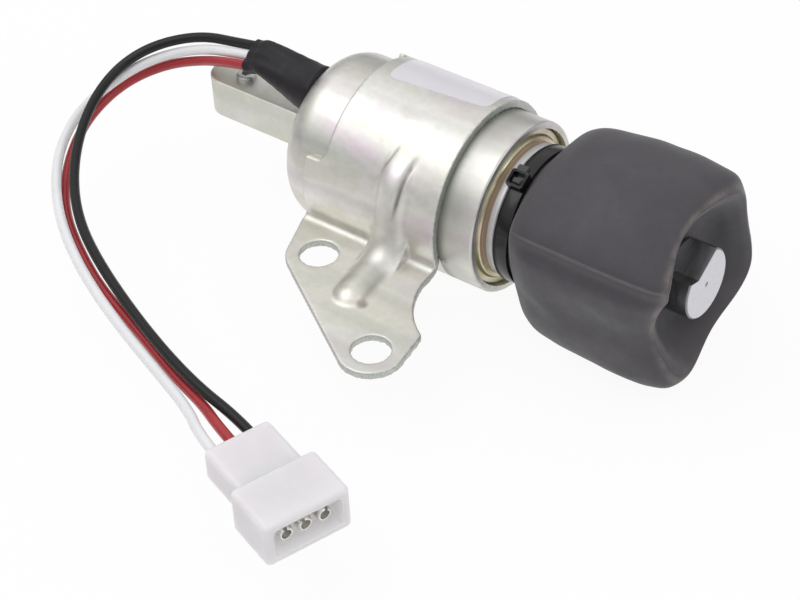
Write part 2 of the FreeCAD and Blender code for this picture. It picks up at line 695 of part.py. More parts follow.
def grommet():
    x0 = CASE_REAR - GROMMET_FLANGE
    foot = Part.makeCylinder(GROMMET_R, GROMMET_FLANGE + CASE_FLOOR, V(x0, LEAD_Y, LEAD_Z), ALONG)
    rim = Part.makeCylinder(GROMMET_FLANGE_R, 2 * GROMMET_FLANGE, V(x0, LEAD_Y, LEAD_Z), ALONG)
    return foot.fuse(rim.cut(case_outer())).removeSplitter()


def across_exit(normal):
    """The row of wires, square to a direction."""
    row = V(*WIRE_ROW)
    return row - normal * row.dot(normal)


def oval(centre, normal, a, b):
    normal = V(*normal).normalize()
    major = across_exit(normal).normalize()
    minor = normal.cross(major)
    edge = Part.Ellipse(centre + major * a, centre + minor * b, centre)
    return Part.Wire([edge.toShape()])


def sleeve():
    start = V(CASE_REAR + 4, LEAD_Y, LEAD_Z)
    end = V(*SLEEVE_END)
    out = V(*WIRE_EXIT).normalize()
    root = V(CASE_REAR - 2, LEAD_Y, LEAD_Z)
    middle = root * 0.5 + (end - out * 8.0) * 0.5
    sections = [
        oval(start, (-1, 0, 0), SLEEVE_R, SLEEVE_R - 0.02),
        oval(root, (-1, 0, 0), SLEEVE_R - 0.1, SLEEVE_R - 0.3),
        oval(middle, (-1, 0, -0.1), SLEEVE_R - 1.0, SLEEVE_R - 2.3),
        oval(end, WIRE_EXIT, SLEEVE_END_A, SLEEVE_END_B),
    ]
    body = Part.makeLoft(sections, True, False).cut(case_outer())
    body = max(body.Solids, key=lambda s: s.Volume)
    return body.cut(grommet())


WIRE_ROUTES = {
    "wire_black": (1, PIN_PITCH, [
        (-88.8, 52.3, 24.9), (-99.2, 48.0, 21.9), (-106.5, 41.3, 18.6), (-109.7, 32.0, 15.2),
        (-108.2, 20.0, 11.8), (-102.7, 7.4, 8.6), (-94.5, -4.2, 6.2), (-83.6, -14.8, 5.0),
        (-70.7, -23.6, 4.6), (-52.8, -33.3, 4.9), (-30.2, -44.0, 5.8), (-9.4, -52.0, 6.8)]),
    "wire_white": (0, -PIN_PITCH, [
        (-87.3, 49.6, 22.6), (-98.8, 46.8, 18.0), (-106.1, 40.2, 14.8), (-110.6, 31.9, 11.4),
        (-113.4, 22.1, 7.9), (-111.2, 11.0, 5.6), (-104.6, -0.7, 4.4), (-93.1, -13.3, 4.5),
        (-80.8, -23.2, 4.1), (-64.8, -33.1, 4.0), (-45.5, -42.4, 3.8), (-24.7, -51.1, 4.2),
        (-6.7, -59.0, 5.4)]),
    "wire_red": (-1, 0.0, [
        (-89.0, 49.0, 18.0), (-100.1, 46.8, 13.6), (-107.6, 40.1, 10.2), (-111.3, 31.9, 7.2),
        (-111.6, 21.2, 4.4), (-107.7, 9.6, 2.4), (-100.0, -2.7, 1.6), (-89.6, -13.8, 1.6),
        (-76.5, -23.1, 1.6), (-60.2, -32.4, 1.6), (-39.0, -40.7, 1.7), (-19.0, -49.5, 2.6),
        (-5.1, -54.8, 4.3)]),
}


def plug_point(x, y, z):
    a = math.radians(PLUG_ANGLE)
    return V(PLUG_X + x * math.cos(a) - y * math.sin(a), PLUG_Y + x * math.sin(a) + y * math.cos(a), z)


def wire_points(row, pin_y, route):
    """From the sleeve's end face to the plug's rear face, square to both."""
    out = V(*WIRE_EXIT).normalize()
    start = V(*SLEEVE_END) + across_exit(out) * row
    first = start + out * WIRE_FIRST_RUN
    level = PLUG_FRONT[2] / 2
    last = [plug_point(-WIRE_LAST_RUN, pin_y, level), plug_point(0, pin_y, level)]
    return [start, first] + [V(*p) for p in route] + last


def wire_tube(name, points):
    """Straight runs joined by tangent arcs as large as the runs allow."""
    edges = []
    radii = []
    last = points[0]
    for before, corner, after in zip(points, points[1:], points[2:]):
        back = before - corner
        on = after - corner
        short = min(back.Length, on.Length) * 0.45
        turn = math.pi - back.getAngle(on)
        radius = short / math.tan(turn / 2)
        start = corner + back.normalize() * short
        end = corner + on.normalize() * short
        middle = corner + (back + on).normalize() * (radius / math.cos(turn / 2) - radius)
        edges.append(line(last, start))
        edges.append(Part.Arc(start, middle, end).toShape())
        radii.append(round(radius, 1))
        last = end
    edges.append(line(last, points[-1]))
    path = Part.Wire(edges)
    section = Part.Wire([Part.Circle(points[0], points[1] - points[0], WIRE_D / 2).toShape()])
    body = path.makePipeShell([section], True, True)
    expected = math.pi * (WIRE_D / 2) ** 2 * path.Length
    print(name, "length", round(path.Length, 1), "radii", radii, "volume ratio",
          round(body.Volume / expected, 4))
    return body


def plug_place(shape):
    shape.rotate(V(0, 0, 0), V(0, 0, 1), PLUG_ANGLE)
    shape.translate(V(PLUG_X, PLUG_Y, 0))
    return shape


def plug_block(x0, size, low):
    length, width, height = size
    block = Part.makeBox(length, width, height, V(x0, -width / 2, low))
    return block.makeFillet(PLUG_ROUND, block.Edges)


def pin_rows():
    return [("black", PIN_PITCH), ("red", 0.0), ("white", -PIN_PITCH)]


def plug_housing():
    rear_low = (PLUG_FRONT[2] - PLUG_REAR[2]) / 2
    rear = plug_block(0, (PLUG_REAR[0] + 2 * PLUG_ROUND,) + PLUG_REAR[1:], rear_low)
    front = plug_block(PLUG_REAR[0], PLUG_FRONT, 0)
    body = rear.fuse(front)
    length = PLUG_REAR[0] + PLUG_FRONT[0]
    for _, y in pin_rows():
        floor = V(length - CAVITY_DEPTH, y, PLUG_FRONT[2] / 2)
        body = body.cut(Part.makeCylinder(CAVITY_R, CAVITY_DEPTH + 1, floor, ALONG))
    depth, width, height = MOUTH
    mouth = Part.makeBox(depth + 1, width, height, V(length - depth, -width / 2, (PLUG_FRONT[2] - height) / 2))
    mouth = mouth.makeFillet(MOUTH_CORNER_R, [e for e in mouth.Edges if e.BoundBox.XLength > depth])
    return plug_place(body.cut(mouth).removeSplitter())


def terminal(y):
    length = PLUG_REAR[0] + PLUG_FRONT[0]
    start = V(length - CAVITY_DEPTH, y, PLUG_FRONT[2] / 2)
    body = Part.makeCylinder(TERMINAL_R, TERMINAL_LENGTH, start, ALONG)
    bore = Part.makeCylinder(TERMINAL_BORE_R, TERMINAL_LENGTH,
                             start + V(TERMINAL_LENGTH - TERMINAL_BORE, 0, 0), ALONG)
    return plug_place(body.cut(bore))


save("mounting_bracket", bracket())
save("case", case())
save("front_plate", front_plate())
save("rear_plate", rear_plate())
save("boot_collar", collar())
save("guide_tube", ring(COIL_REAR + FIT, NECK_END, GUIDE_OUT_R, GUIDE_IN_R))
save("bobbin", bobbin())
divider = COIL_FRONT - HOLD_LENGTH - 2 * BOBBIN_FLANGE
save("pull_winding", winding(COIL_REAR + FIT + BOBBIN_FLANGE, divider))
save("hold_winding", winding(divider + BOBBIN_FLANGE, COIL_FRONT - BOBBIN_FLANGE))
save("back_stop", back_stop())
save("plunger", plunger())
save("return_spring", return_spring())
save("rear_bar", rear_bar())
save("bar_screw", bar_screw())
save("boot", boot())
save("boot_tie", boot_tie())
save("label", label())
save("grommet", grommet())
save("sleeve", sleeve())
for wire_name, (row, pin_y, route) in WIRE_ROUTES.items():
    save(wire_name, wire_tube(wire_name, wire_points(row, pin_y, route)))
save("plug_housing", plug_housing())
for colour, offset in pin_rows():
    save("terminal_" + colour, terminal(offset))
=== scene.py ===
"""Looks of a fuel shut-off solenoid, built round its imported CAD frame.

Tables and helpers are in mm, and MM turns them into the metres of the frame.
"""

import math

import bmesh
import bpy
import numpy as np
from mathutils import Matrix, Vector, noise


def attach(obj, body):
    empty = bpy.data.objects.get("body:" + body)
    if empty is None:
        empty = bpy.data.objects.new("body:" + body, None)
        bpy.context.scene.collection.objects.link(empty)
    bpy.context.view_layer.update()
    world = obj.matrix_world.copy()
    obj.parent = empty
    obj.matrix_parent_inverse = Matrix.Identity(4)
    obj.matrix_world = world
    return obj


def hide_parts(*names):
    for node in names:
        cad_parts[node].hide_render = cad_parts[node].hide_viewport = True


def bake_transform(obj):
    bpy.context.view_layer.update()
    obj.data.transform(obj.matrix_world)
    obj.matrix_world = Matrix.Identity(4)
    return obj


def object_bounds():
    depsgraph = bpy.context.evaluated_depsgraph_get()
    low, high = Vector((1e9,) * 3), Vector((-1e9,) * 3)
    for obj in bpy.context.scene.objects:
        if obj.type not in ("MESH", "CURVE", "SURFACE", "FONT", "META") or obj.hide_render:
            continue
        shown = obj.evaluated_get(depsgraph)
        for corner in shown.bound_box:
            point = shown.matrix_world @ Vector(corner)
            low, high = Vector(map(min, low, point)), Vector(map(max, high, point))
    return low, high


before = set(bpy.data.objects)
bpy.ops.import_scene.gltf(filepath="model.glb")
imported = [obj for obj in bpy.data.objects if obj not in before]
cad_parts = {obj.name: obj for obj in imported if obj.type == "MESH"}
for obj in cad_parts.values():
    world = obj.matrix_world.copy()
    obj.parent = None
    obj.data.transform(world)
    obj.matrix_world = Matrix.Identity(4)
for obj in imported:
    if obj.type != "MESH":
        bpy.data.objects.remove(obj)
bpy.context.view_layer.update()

MM = 0.001
AXIS_Y, AXIS_Z = 50.5, 11.0          # coil axis, which runs along +X
CASE_R, STRAP_R = 25.4, 27.8         # outsides of the can and of the strap round it
STRAP_FRONT = 13.8                   # the strap's front edge along the axis
PLUG_AT = (13.9, -64.2, 7.0)         # centre of the plug's rear face
PLUG_TURN = math.radians(-20.5)      # the plug's turn about +Z
scene = bpy.context.scene
scene.view_settings.view_transform = "Standard"


# Camera, solved from the photograph, in metres

cam_data = bpy.data.cameras.new("camera")
cam_data.sensor_fit = "HORIZONTAL"
cam_data.sensor_width = 36.0
cam_data.lens = 113.0238
cam_data.clip_start = 0.05
cam = bpy.data.objects.new("camera", cam_data)
scene.collection.objects.link(cam)
right = (0.8108777, 0.5834713, -0.0451508)
up = (-0.3618089, 0.5604704, 0.7449613)
back = (0.4599692, -0.5877365, 0.665578)
place = (0.32860783, -0.39521576, 0.45931155)
cam.matrix_world = Matrix([[right[i], up[i], back[i], place[i]] for i in range(3)] + [[0, 0, 0, 1]])
scene.camera = cam


# Node helpers

def fill_ramp(node, stops):
    """Stops of (place, colour), in order, for a new colour ramp."""
    elements = node.color_ramp.elements
    while len(elements) < len(stops):
        elements.new(0.5)
    for element, (place, colour) in zip(elements, stops):
        element.position = place
        element.color = (*colour, 1.0)


class Look:
    """A procedural material, new or already made, and short calls for its nodes."""

    def __init__(self, name="", mat=None):
        self.mat = mat or bpy.data.materials.new(name)
        self.mat.use_nodes = True
        self.tree = self.mat.node_tree
        self.shader = self.tree.nodes["Principled BSDF"]
        self.coord = self.node("ShaderNodeTexCoord").outputs["Object"]

    def node(self, kind, **props):
        made = self.tree.nodes.new(kind)
        for key, value in props.items():
            setattr(made, key, value)
        return made

    def link(self, source, target):
        self.tree.links.new(source, target)

    def put(self, socket, value):
        if isinstance(value, bpy.types.NodeSocket):
            self.link(value, socket)
        else:
            socket.default_value = value

    def set(self, **values):
        for key, value in values.items():
            self.put(self.shader.inputs[key.replace("_", " ")], value)

    def scaled(self, x, y, z):
        made = self.node("ShaderNodeMapping")
        made.inputs["Scale"].default_value = (x, y, z)
        self.link(self.coord, made.inputs["Vector"])
        return made.outputs["Vector"]

    def noise(self, scale, detail=3.0, rough=0.55, vector=None, distortion=0.0):
        made = self.node("ShaderNodeTexNoise")
        made.inputs["Scale"].default_value = scale
        made.inputs["Detail"].default_value = detail
        made.inputs["Roughness"].default_value = rough
        made.inputs["Distortion"].default_value = distortion
        self.link(vector or self.coord, made.inputs["Vector"])
        return made.outputs["Fac"]

    def cells(self, scale):
        made = self.node("ShaderNodeTexVoronoi")
        made.inputs["Scale"].default_value = scale
        self.link(self.coord, made.inputs["Vector"])
        return made.outputs["Distance"]

    def attribute(self, name):
        return self.node("ShaderNodeAttribute", attribute_name=name).outputs["Fac"]

    def span(self, value, low, high, to_low=0.0, to_high=1.0, smooth=False):
        made = self.node("ShaderNodeMapRange")
        if smooth:
            made.interpolation_type = "SMOOTHSTEP"
        for key, entry in (("From Min", low), ("From Max", high), ("To Min", to_low), ("To Max", to_high)):
            made.inputs[key].default_value = entry
        self.link(value, made.inputs["Value"])
        return made.outputs["Result"]

    def math(self, operation, first, second=0.0):
        made = self.node("ShaderNodeMath", operation=operation)
        for socket, value in zip(made.inputs, (first, second)):
            self.put(socket, value)
        return made.outputs[0]

    def times(self, first, second):
        return self.math("MULTIPLY", first, second)

    def vector(self, operation, source, other=None, out="Vector"):
        made = self.node("ShaderNodeVectorMath", operation=operation)
        self.link(source, made.inputs[0])
        if other:
            made.inputs[1].default_value = other
        return made.outputs[out]

    def mix(self, share, first, second):
        made = self.node("ShaderNodeMix", data_type="RGBA")
        self.put(made.inputs[0], share)
        for socket, value in ((made.inputs[6], first), (made.inputs[7], second)):
            self.put(socket, value if isinstance(value, bpy.types.NodeSocket) else (*value, 1.0))
        return made.outputs[2]

    def ramp(self, value, *stops):
        made = self.node("ShaderNodeValToRGB")
        fill_ramp(made, stops)
        self.link(value, made.inputs["Fac"])
        return made.outputs["Color"]

    def bump(self, *layers):
        """Layers of (height, strength, distance), each over the one before."""
        last = None
        for height, strength, distance in layers:
            made = self.node("ShaderNodeBump")
            made.inputs["Strength"].default_value = strength
            made.inputs["Distance"].default_value = distance * MM
            self.link(height, made.inputs["Height"])
            if last:
                self.link(last, made.inputs["Normal"])
            last = made.outputs["Normal"]
        self.link(last, self.shader.inputs["Normal"])

    def part(self, axis, vector=None):
        made = self.node("ShaderNodeSeparateXYZ")
        self.link(vector or self.coord, made.inputs[0])
        return made.outputs[axis]


# Materials

# The third colour is painted shade in the bracket's creases, and darkening at the strap's root
GREY_MOTTLE, STAIN, CREASE_SHADE_AND_ROOT_DARK = (0.42, 0.42, 0.40), (0.20, 0.15, 0.12), (0.17, 0.16, 0.14)
EDGE_DARK, EDGE_LIGHT = (0.45, 0.48, 0.46), (0.64, 0.65, 0.61)


def zinc(name, tints, rough, grain, streak, edges=False, stains=(), bands=(), metal=1.0):
    """Bright zinc with its faint rainbow: drawn-out tints, uneven gloss and a fine grain.

    Edges, and the painted crease shade with the darkening at the strap's root, follow the mesh's own
    attributes; stains are (point, radius, share); bands run round the coil axis ahead of the strap and are
    (full at x, gone at x, share, colour).
    """
    look = Look(name)
    cloud = look.noise(1, 3, 0.6, look.scaled(14, 48, 48), 0.5)
    patch = look.noise(95, 4, 0.6)
    colour = look.ramp(cloud, (0.30, tints[0]), (0.45, tints[1]), (0.56, tints[2]), (0.70, tints[3]))
    colour = look.mix(look.span(patch, 0.35, 0.7, 0.0, 0.5), colour, tints[4])
    drain = look.noise(1, 2, 0.5, look.scaled(9, 110, 110))
    colour = look.mix(look.span(drain, 0.50, 0.72, 0.0, 0.55), colour, tints[5])
    mottle = look.noise(420, 4, 0.7)
    colour = look.mix(look.span(mottle, 0.40, 0.70, 0.0, 0.16), colour, GREY_MOTTLE)
    # Bands darken or tint rings round the coil axis; the can's painted shadow beside the strap is among them
    for full, gone, share, paint in bands:
        here = look.span(look.part("X"), full * MM, gone * MM, share, 0.0, True)
        ahead = look.math("GREATER_THAN", look.part("X"), STRAP_FRONT * MM)
        colour = look.mix(look.times(here, ahead), colour, paint)
    streaks = look.noise(1, 4, 0.7, look.scaled(*streak))
    height = look.noise(2400, 2)
    gloss = look.math("ADD", look.span(look.noise(140, 4, 0.65), 0.3, 0.7, rough - 0.05, rough + 0.08),
                      look.span(streaks, 0.3, 0.7, -0.04, 0.05))
    for point, radius, share in stains:
        away = look.vector("DISTANCE", look.coord, [c * MM for c in point], "Value")
        near = look.span(away, radius * MM, 0.3 * radius * MM, 0.0, share, True)
        colour = look.mix(look.times(near, look.span(patch, 0.3, 0.6, 0.5, 1.0)), colour, STAIN)
    if edges:
        edge = look.attribute("edge")
        torn = look.noise(1, 4, 0.7, look.scaled(1500, 1500, 1500))
        colour = look.mix(edge, colour, look.mix(look.span(torn, 0.35, 0.65), EDGE_DARK, EDGE_LIGHT))
        gloss = look.math("ADD", gloss, look.times(edge, 0.12))
        # Painted shade in the bracket's creases, with darkening at the strap's root, mixed over the colour
        crease_shade_and_root_dark = look.times(look.attribute("crease_shade_and_root_dark"), look.span(patch, 0.25, 0.6, 0.55, 1.0))
        colour = look.mix(crease_shade_and_root_dark, colour, CREASE_SHADE_AND_ROOT_DARK)
        height = look.math("ADD", height, look.times(edge, look.times(torn, 3.0)))
    look.set(Base_Color=colour, Metallic=metal, Roughness=gloss)
    look.bump((look.noise(26, 2), 0.10, 0.6), (streaks, 0.10 * grain, 0.05), (height, 0.12 * grain, 0.03))
    return look.mat


TINTS = (
    (0.62, 0.67, 0.67), (0.80, 0.77, 0.71), (0.86, 0.84, 0.82),
    (0.79, 0.68, 0.76), (0.70, 0.73, 0.60), (0.53, 0.55, 0.52))
CASE_TINTS = tuple(tuple(0.93 * c for c in tint) for tint in TINTS)
BAR_TINTS = (
    (0.60, 0.61, 0.59), (0.68, 0.67, 0.61), (0.72, 0.71, 0.67),
    (0.66, 0.63, 0.64), (0.62, 0.65, 0.52), (0.56, 0.56, 0.52))
YELLOW_TINTS = (
    (0.42, 0.35, 0.20), (0.58, 0.52, 0.32), (0.70, 0.65, 0.48),
    (0.50, 0.40, 0.32), (0.36, 0.38, 0.22), (0.56, 0.46, 0.36))
COLLAR_TINTS = (
    (0.80, 0.78, 0.80), (0.86, 0.84, 0.84), (0.88, 0.87, 0.89),
    (0.78, 0.72, 0.80), (0.84, 0.84, 0.80), (0.80, 0.76, 0.80))
# At the bead's lower end, and on either side of it at the strap's root
STAINS = (((5.2, 1.2, 2.8), 2.4, 0.85), ((8.5, 20.5, 5.5), 2.8, 0.85), ((2.0, 22.8, 4.5), 2.4, 0.6))
# The can ahead of the strap is duller, with a painted shadow darkest beside the strap's edge, and dull again on
# its lip
CASE_TONE_AND_PAINTED_SHADE = (
    (16.0, 25.5, 0.75, (0.50, 0.50, 0.46)),
    # Painted shadow of the strap on the can, beside its front edge
    (13.8, 17.4, 0.80, (0.25, 0.27, 0.23)),
    (25.2, 24.2, 0.45, (0.45, 0.45, 0.42)))
COLLAR_BANDS = ((25.9, 26.3, 1.0, (0.50, 0.38, 0.30)),)

zinc_bracket = zinc("zinc_bracket", TINTS, 0.45, 2.0, (300, 60, 300), True, STAINS)
zinc_case = zinc("zinc_case", CASE_TINTS, 0.40, 1.6, (30, 500, 500), bands=CASE_TONE_AND_PAINTED_SHADE)
zinc_bar = zinc("zinc_bar", BAR_TINTS, 0.44, 6.0, (1100, 70, 70))
yellow_zinc = zinc("yellow_zinc", YELLOW_TINTS, 0.30, 1.6, (200, 200, 200))
collar_zinc = zinc("collar_zinc", COLLAR_TINTS, 0.34, 0.5, (900, 60, 60), bands=COLLAR_BANDS, metal=0.45)


def machined(name, colour, rough, streak, deep=0.1):
    look = Look(name)
    lines = look.noise(1, 5, 0.75, look.scaled(*streak))
    tint = look.mix(look.span(lines, 0.3, 0.7, 0.0, 0.5), colour, tuple(0.72 * c for c in colour))
    look.set(Base_Color=tint, Metallic=1.0, Roughness=look.span(lines, 0.3, 0.7, rough - 0.06, rough + 0.08))
    look.bump((lines, deep, 0.05))
    return look.mat


plain_steel = machined("plain_steel", (0.45, 0.45, 0.46), 0.34, (800, 60, 60))
spring_steel = machined("spring_steel", (0.40, 0.40, 0.42), 0.30, (400, 400, 400))
brass_tube = machined("brass_tube", (0.70, 0.56, 0.28), 0.25, (60, 900, 900))
copper_wire = machined("copper_wire", (0.55, 0.26, 0.12), 0.35, (3000, 60, 60), 0.5)
tinned_brass = machined("tinned_brass", (0.80, 0.79, 0.75), 0.38, (300, 300, 300))
black_steel = machined("black_steel", (0.60, 0.62, 0.60), 0.38, (500, 500, 500))   # light, as in the photograph


FACE_FROM, FACE_FULL = 84.12, 84.26  # where the plunger's bright faced end begins


def plunger_steel(name):
    """Dark turned side, its darkness a painted reflection of the dark boot round it; the faced end is bright,
    with faint rings about the coil axis.
    """
    look = Look(name)
    offset = look.vector("SUBTRACT", look.coord, (0, AXIS_Y * MM, AXIS_Z * MM))
    flat = look.vector("MULTIPLY", offset, (0, 1, 1))
    rings = look.node("ShaderNodeTexNoise", noise_dimensions="1D")
    rings.inputs["Scale"].default_value = 7000
    rings.inputs["Detail"].default_value = 3
    look.link(look.vector("LENGTH", flat, out="Value"), rings.inputs["W"])
    turned = rings.outputs["Fac"]
    lines = look.noise(1, 5, 0.75, look.scaled(2500, 120, 120))
    face = look.span(look.part("X"), FACE_FROM * MM, FACE_FULL * MM)
    spots = look.noise(800, 3)
    bright = look.mix(look.span(spots, 0.5, 0.75, 0, 0.35), (0.66, 0.65, 0.69), (0.52, 0.52, 0.56))
    # The side's dark colour is a painted reflection of the dark boot
    dark = look.mix(look.span(lines, 0.35, 0.65, 0, 1), (0.20, 0.20, 0.205), (0.31, 0.31, 0.32))
    rough = look.mix(face, look.span(lines, 0.3, 0.7, 0.32, 0.5), look.span(turned, 0.3, 0.7, 0.36, 0.48))
    height = look.mix(face, look.times(lines, 2.0), turned)
    look.set(Base_Color=look.mix(face, dark, bright), Metallic=1.0, Roughness=rough)
    look.bump((height, 0.12, 0.02), (look.noise(900, 2), 0.08, 0.05))
    return look.mat


turned_steel = plunger_steel("turned_steel")


def plastic(name, colour, rough, coat=0.0, mottle=0.12, grain=0.05, under=0.0, depth=(1.0, 1.0, 1.0),
            shine=0.5):
    """Plastic or rubber; under is the share of light that enters it, down to the depth in each colour."""
    look = Look(name)
    cloud = look.noise(120, 4, 0.6)
    fine = look.noise(1500, 3)
    dark = tuple((1 - mottle) * c for c in colour)
    tint = look.mix(look.span(cloud, 0.35, 0.7, 0, 1), colour, dark)
    look.set(Base_Color=tint, Roughness=look.span(cloud, 0.3, 0.7, rough - 0.04, rough + 0.06),
             Specular_IOR_Level=shine, Coat_Weight=coat, Coat_Roughness=0.2, Subsurface_Weight=under,
             Subsurface_Radius=depth, Subsurface_Scale=MM)
    look.bump((fine, grain, 0.05), (look.noise(200, 2), 0.05, 0.2))
    return look.mat


nylon = plastic("nylon", (0.82, 0.80, 0.74), 0.4)
black_nylon = plastic("black_nylon", (0.008, 0.008, 0.009), 0.20, mottle=0.3)
white_nylon = plastic("white_nylon", (0.77, 0.745, 0.77), 0.42, mottle=0.04, grain=0.10, under=1.0,
                      depth=(7.0, 6.2, 6.6))
black_rubber = plastic("black_rubber", (0.03, 0.03, 0.032), 0.6)
label_film = plastic("label_film", (0.72, 0.70, 0.74), 0.30, coat=0.1, mottle=0.04, grain=0.02)
shrink_sleeve = plastic("shrink_sleeve", (0.011, 0.0085, 0.012), 0.46, mottle=0.3, grain=0.15, shine=0.36)
black_insulation = plastic("black_insulation", (0.007, 0.007, 0.008), 0.34, mottle=0.2, grain=0.04,
                           shine=0.36)
white_insulation = plastic("white_insulation", (0.84, 0.84, 0.86), 0.30, coat=0.1, mottle=0.04, grain=0.04,
                           under=0.3, depth=(0.6, 0.6, 0.6))
red_insulation = plastic("red_insulation", (0.42, 0.025, 0.032), 0.32, coat=0.1, mottle=0.15, grain=0.04)

MOUTH_FROM, MOUTH_HALF_Y, MOUTH_HALF_Z = 26.5, 10.1, 4.8   # the plug's mouth, in its own axes


def paint_light_in_mouth(mat):
    """Painted light: the inside of the plug's mouth is coloured lighter than the outside, standing in for light
    through its thin walls.
    """
    look = Look(mat=mat)
    own = look.node("ShaderNodeMapping")
    own.vector_type = "TEXTURE"
    own.inputs["Location"].default_value = [c * MM for c in PLUG_AT]
    own.inputs["Rotation"].default_value = (0, 0, PLUG_TURN)
    look.link(look.coord, own.inputs["Vector"])
    place = own.outputs["Vector"]
    inside = look.math("GREATER_THAN", look.part("X", place), MOUTH_FROM * MM)
    for axis, half in (("Y", MOUTH_HALF_Y), ("Z", MOUTH_HALF_Z)):
        near = look.math("LESS_THAN", look.math("ABSOLUTE", look.part(axis, place)), half * MM)
        inside = look.times(inside, near)
    base = look.shader.inputs["Base Color"]
    outside = base.links[0].from_socket
    # The mouth's inside takes the painted light's colour
    look.link(look.mix(inside, outside, (0.98, 0.95, 0.97)), base)


paint_light_in_mouth(white_nylon)


def boot_look():
    """Matte grey rubber: soft cloudy bloom, brown traces where it is folded, a fine moulded skin."""
    look = Look("boot_rubber")
    cloud = look.noise(60, 4, 0.6, distortion=0.4)
    fine = look.noise(420, 5, 0.7)
    colour = look.ramp(cloud, (0.32, (0.053, 0.049, 0.057)), (0.52, (0.061, 0.056, 0.065)),
                       (0.72, (0.073, 0.067, 0.076)))
    brown = look.times(look.span(look.noise(38, 3), 0.50, 0.68), look.span(fine, 0.42, 0.62))
    far = look.span(look.part("X"), 0.060, 0.082)
    colour = look.mix(look.times(look.times(brown, far), 0.5), colour, (0.098, 0.074, 0.066))
    # The fold's crest: brown worn rubber with a painted highlight
    rim_wear_and_highlight = look.times(look.attribute("rim"), look.span(look.noise(130, 4, 0.65), 0.38, 0.66, 0.15, 1.0))
    colour = look.mix(rim_wear_and_highlight, colour, (0.185, 0.158, 0.148))
    # A painted highlight along the seam's ridge
    seam = look.times(look.attribute("seam"), look.span(fine, 0.3, 0.6, 0.3, 0.8))
    colour = look.mix(seam, colour, (0.150, 0.138, 0.140))
    dust = look.span(look.cells(210), 0.035, 0.0, 0.0, 0.35)
    colour = look.mix(dust, colour, (0.20, 0.19, 0.19))
    look.set(Base_Color=colour, Roughness=look.span(fine, 0.3, 0.7, 0.52, 0.66), Specular_IOR_Level=0.42,
             Sheen_Weight=0.15, Sheen_Roughness=0.5)
    look.bump((look.noise(90, 3), 0.14, 0.5), (look.noise(1300, 3), 0.10, 0.05))
    return look.mat


boot_rubber = boot_look()

NODE_LOOKS = {
    "mounting_bracket": zinc_bracket, "case": zinc_case, "front_plate": yellow_zinc,
    "rear_plate": plain_steel, "boot_collar": collar_zinc, "guide_tube": brass_tube, "bobbin": nylon,
    "pull_winding": copper_wire, "hold_winding": copper_wire, "back_stop": plain_steel,
    "plunger": turned_steel, "return_spring": spring_steel, "rear_bar": zinc_bar, "bar_screw": black_steel,
    "boot": boot_rubber, "boot_tie": black_nylon, "label": label_film, "grommet": black_rubber,
    "sleeve": shrink_sleeve, "wire_black": black_insulation, "wire_white": white_insulation,
    "wire_red": red_insulation, "plug_housing": white_nylon, "terminal_black": tinned_brass,
    "terminal_red": tinned_brass, "terminal_white": tinned_brass,
}


def dress(obj, mat):
    """The look in every slot of the object, and in a new one if it has none."""
    slots = obj.data.materials
    if len(slots) == 0:
        slots.append(mat)
    for k in range(len(slots)):
        slots[k] = mat


for node, look in NODE_LOOKS.items():
    dress(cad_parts[node], look)


# Mesh helpers

def link_object(name, data, mat=None):
    obj = bpy.data.objects.new(name, data)
    scene.collection.objects.link(obj)
    if mat:
        dress(obj, mat)
    return obj


def shade_smooth(data):
    data.polygons.foreach_set("use_smooth", [True] * len(data.polygons))


def mesh_object(name, verts, faces, mat):
    data = bpy.data.meshes.new(name)
    data.from_pydata([(x * MM, y * MM, z * MM) for x, y, z in verts], [], faces)
    data.validate()
    data.update()
    shade_smooth(data)
    return link_object(name, data, mat)


def face_outward(obj, *added):
    """Turn all faces outward, after other meshes have been added to the object's own."""
    shape = bmesh.new()
    shape.from_mesh(obj.data)
    for piece in added:
        shape.from_mesh(piece)
    bmesh.ops.recalc_face_normals(shape, faces=shape.faces)
    shape.to_mesh(obj.data)
    shape.free()


def set_values(data, name, values):
    """A number for each vertex, which materials read by its name."""
    data.attributes.new(name, "FLOAT", "POINT").data.foreach_set("value", values)


def apply_modifiers(obj):
    made = bpy.data.meshes.new_from_object(obj.evaluated_get(bpy.context.evaluated_depsgraph_get()))
    obj.modifiers.clear()
    obj.data = made


def step(value, low, high):
    """0 at low, 1 at high, straight between."""
    return min(1.0, max(0.0, (value - low) / (high - low)))


def spline_through(points, count):
    """Catmull-Rom samples, evenly spread in the points' own parameter."""
    points = np.array(points, float)
    padded = np.vstack([2 * points[0] - points[1], points, 2 * points[-1] - points[-2]])
    found = []
    for t in np.linspace(0, len(points) - 1, count):
        k = min(int(t), len(points) - 2)
        u = t - k
        a, b, c, d = padded[k:k + 4]
        found.append(0.5 * (2 * b + (c - a) * u + (2 * a - 5 * b + 4 * c - d) * u * u
                            + (3 * b - a - 3 * c + d) * u ** 3))
    return np.array(found)


# Cords

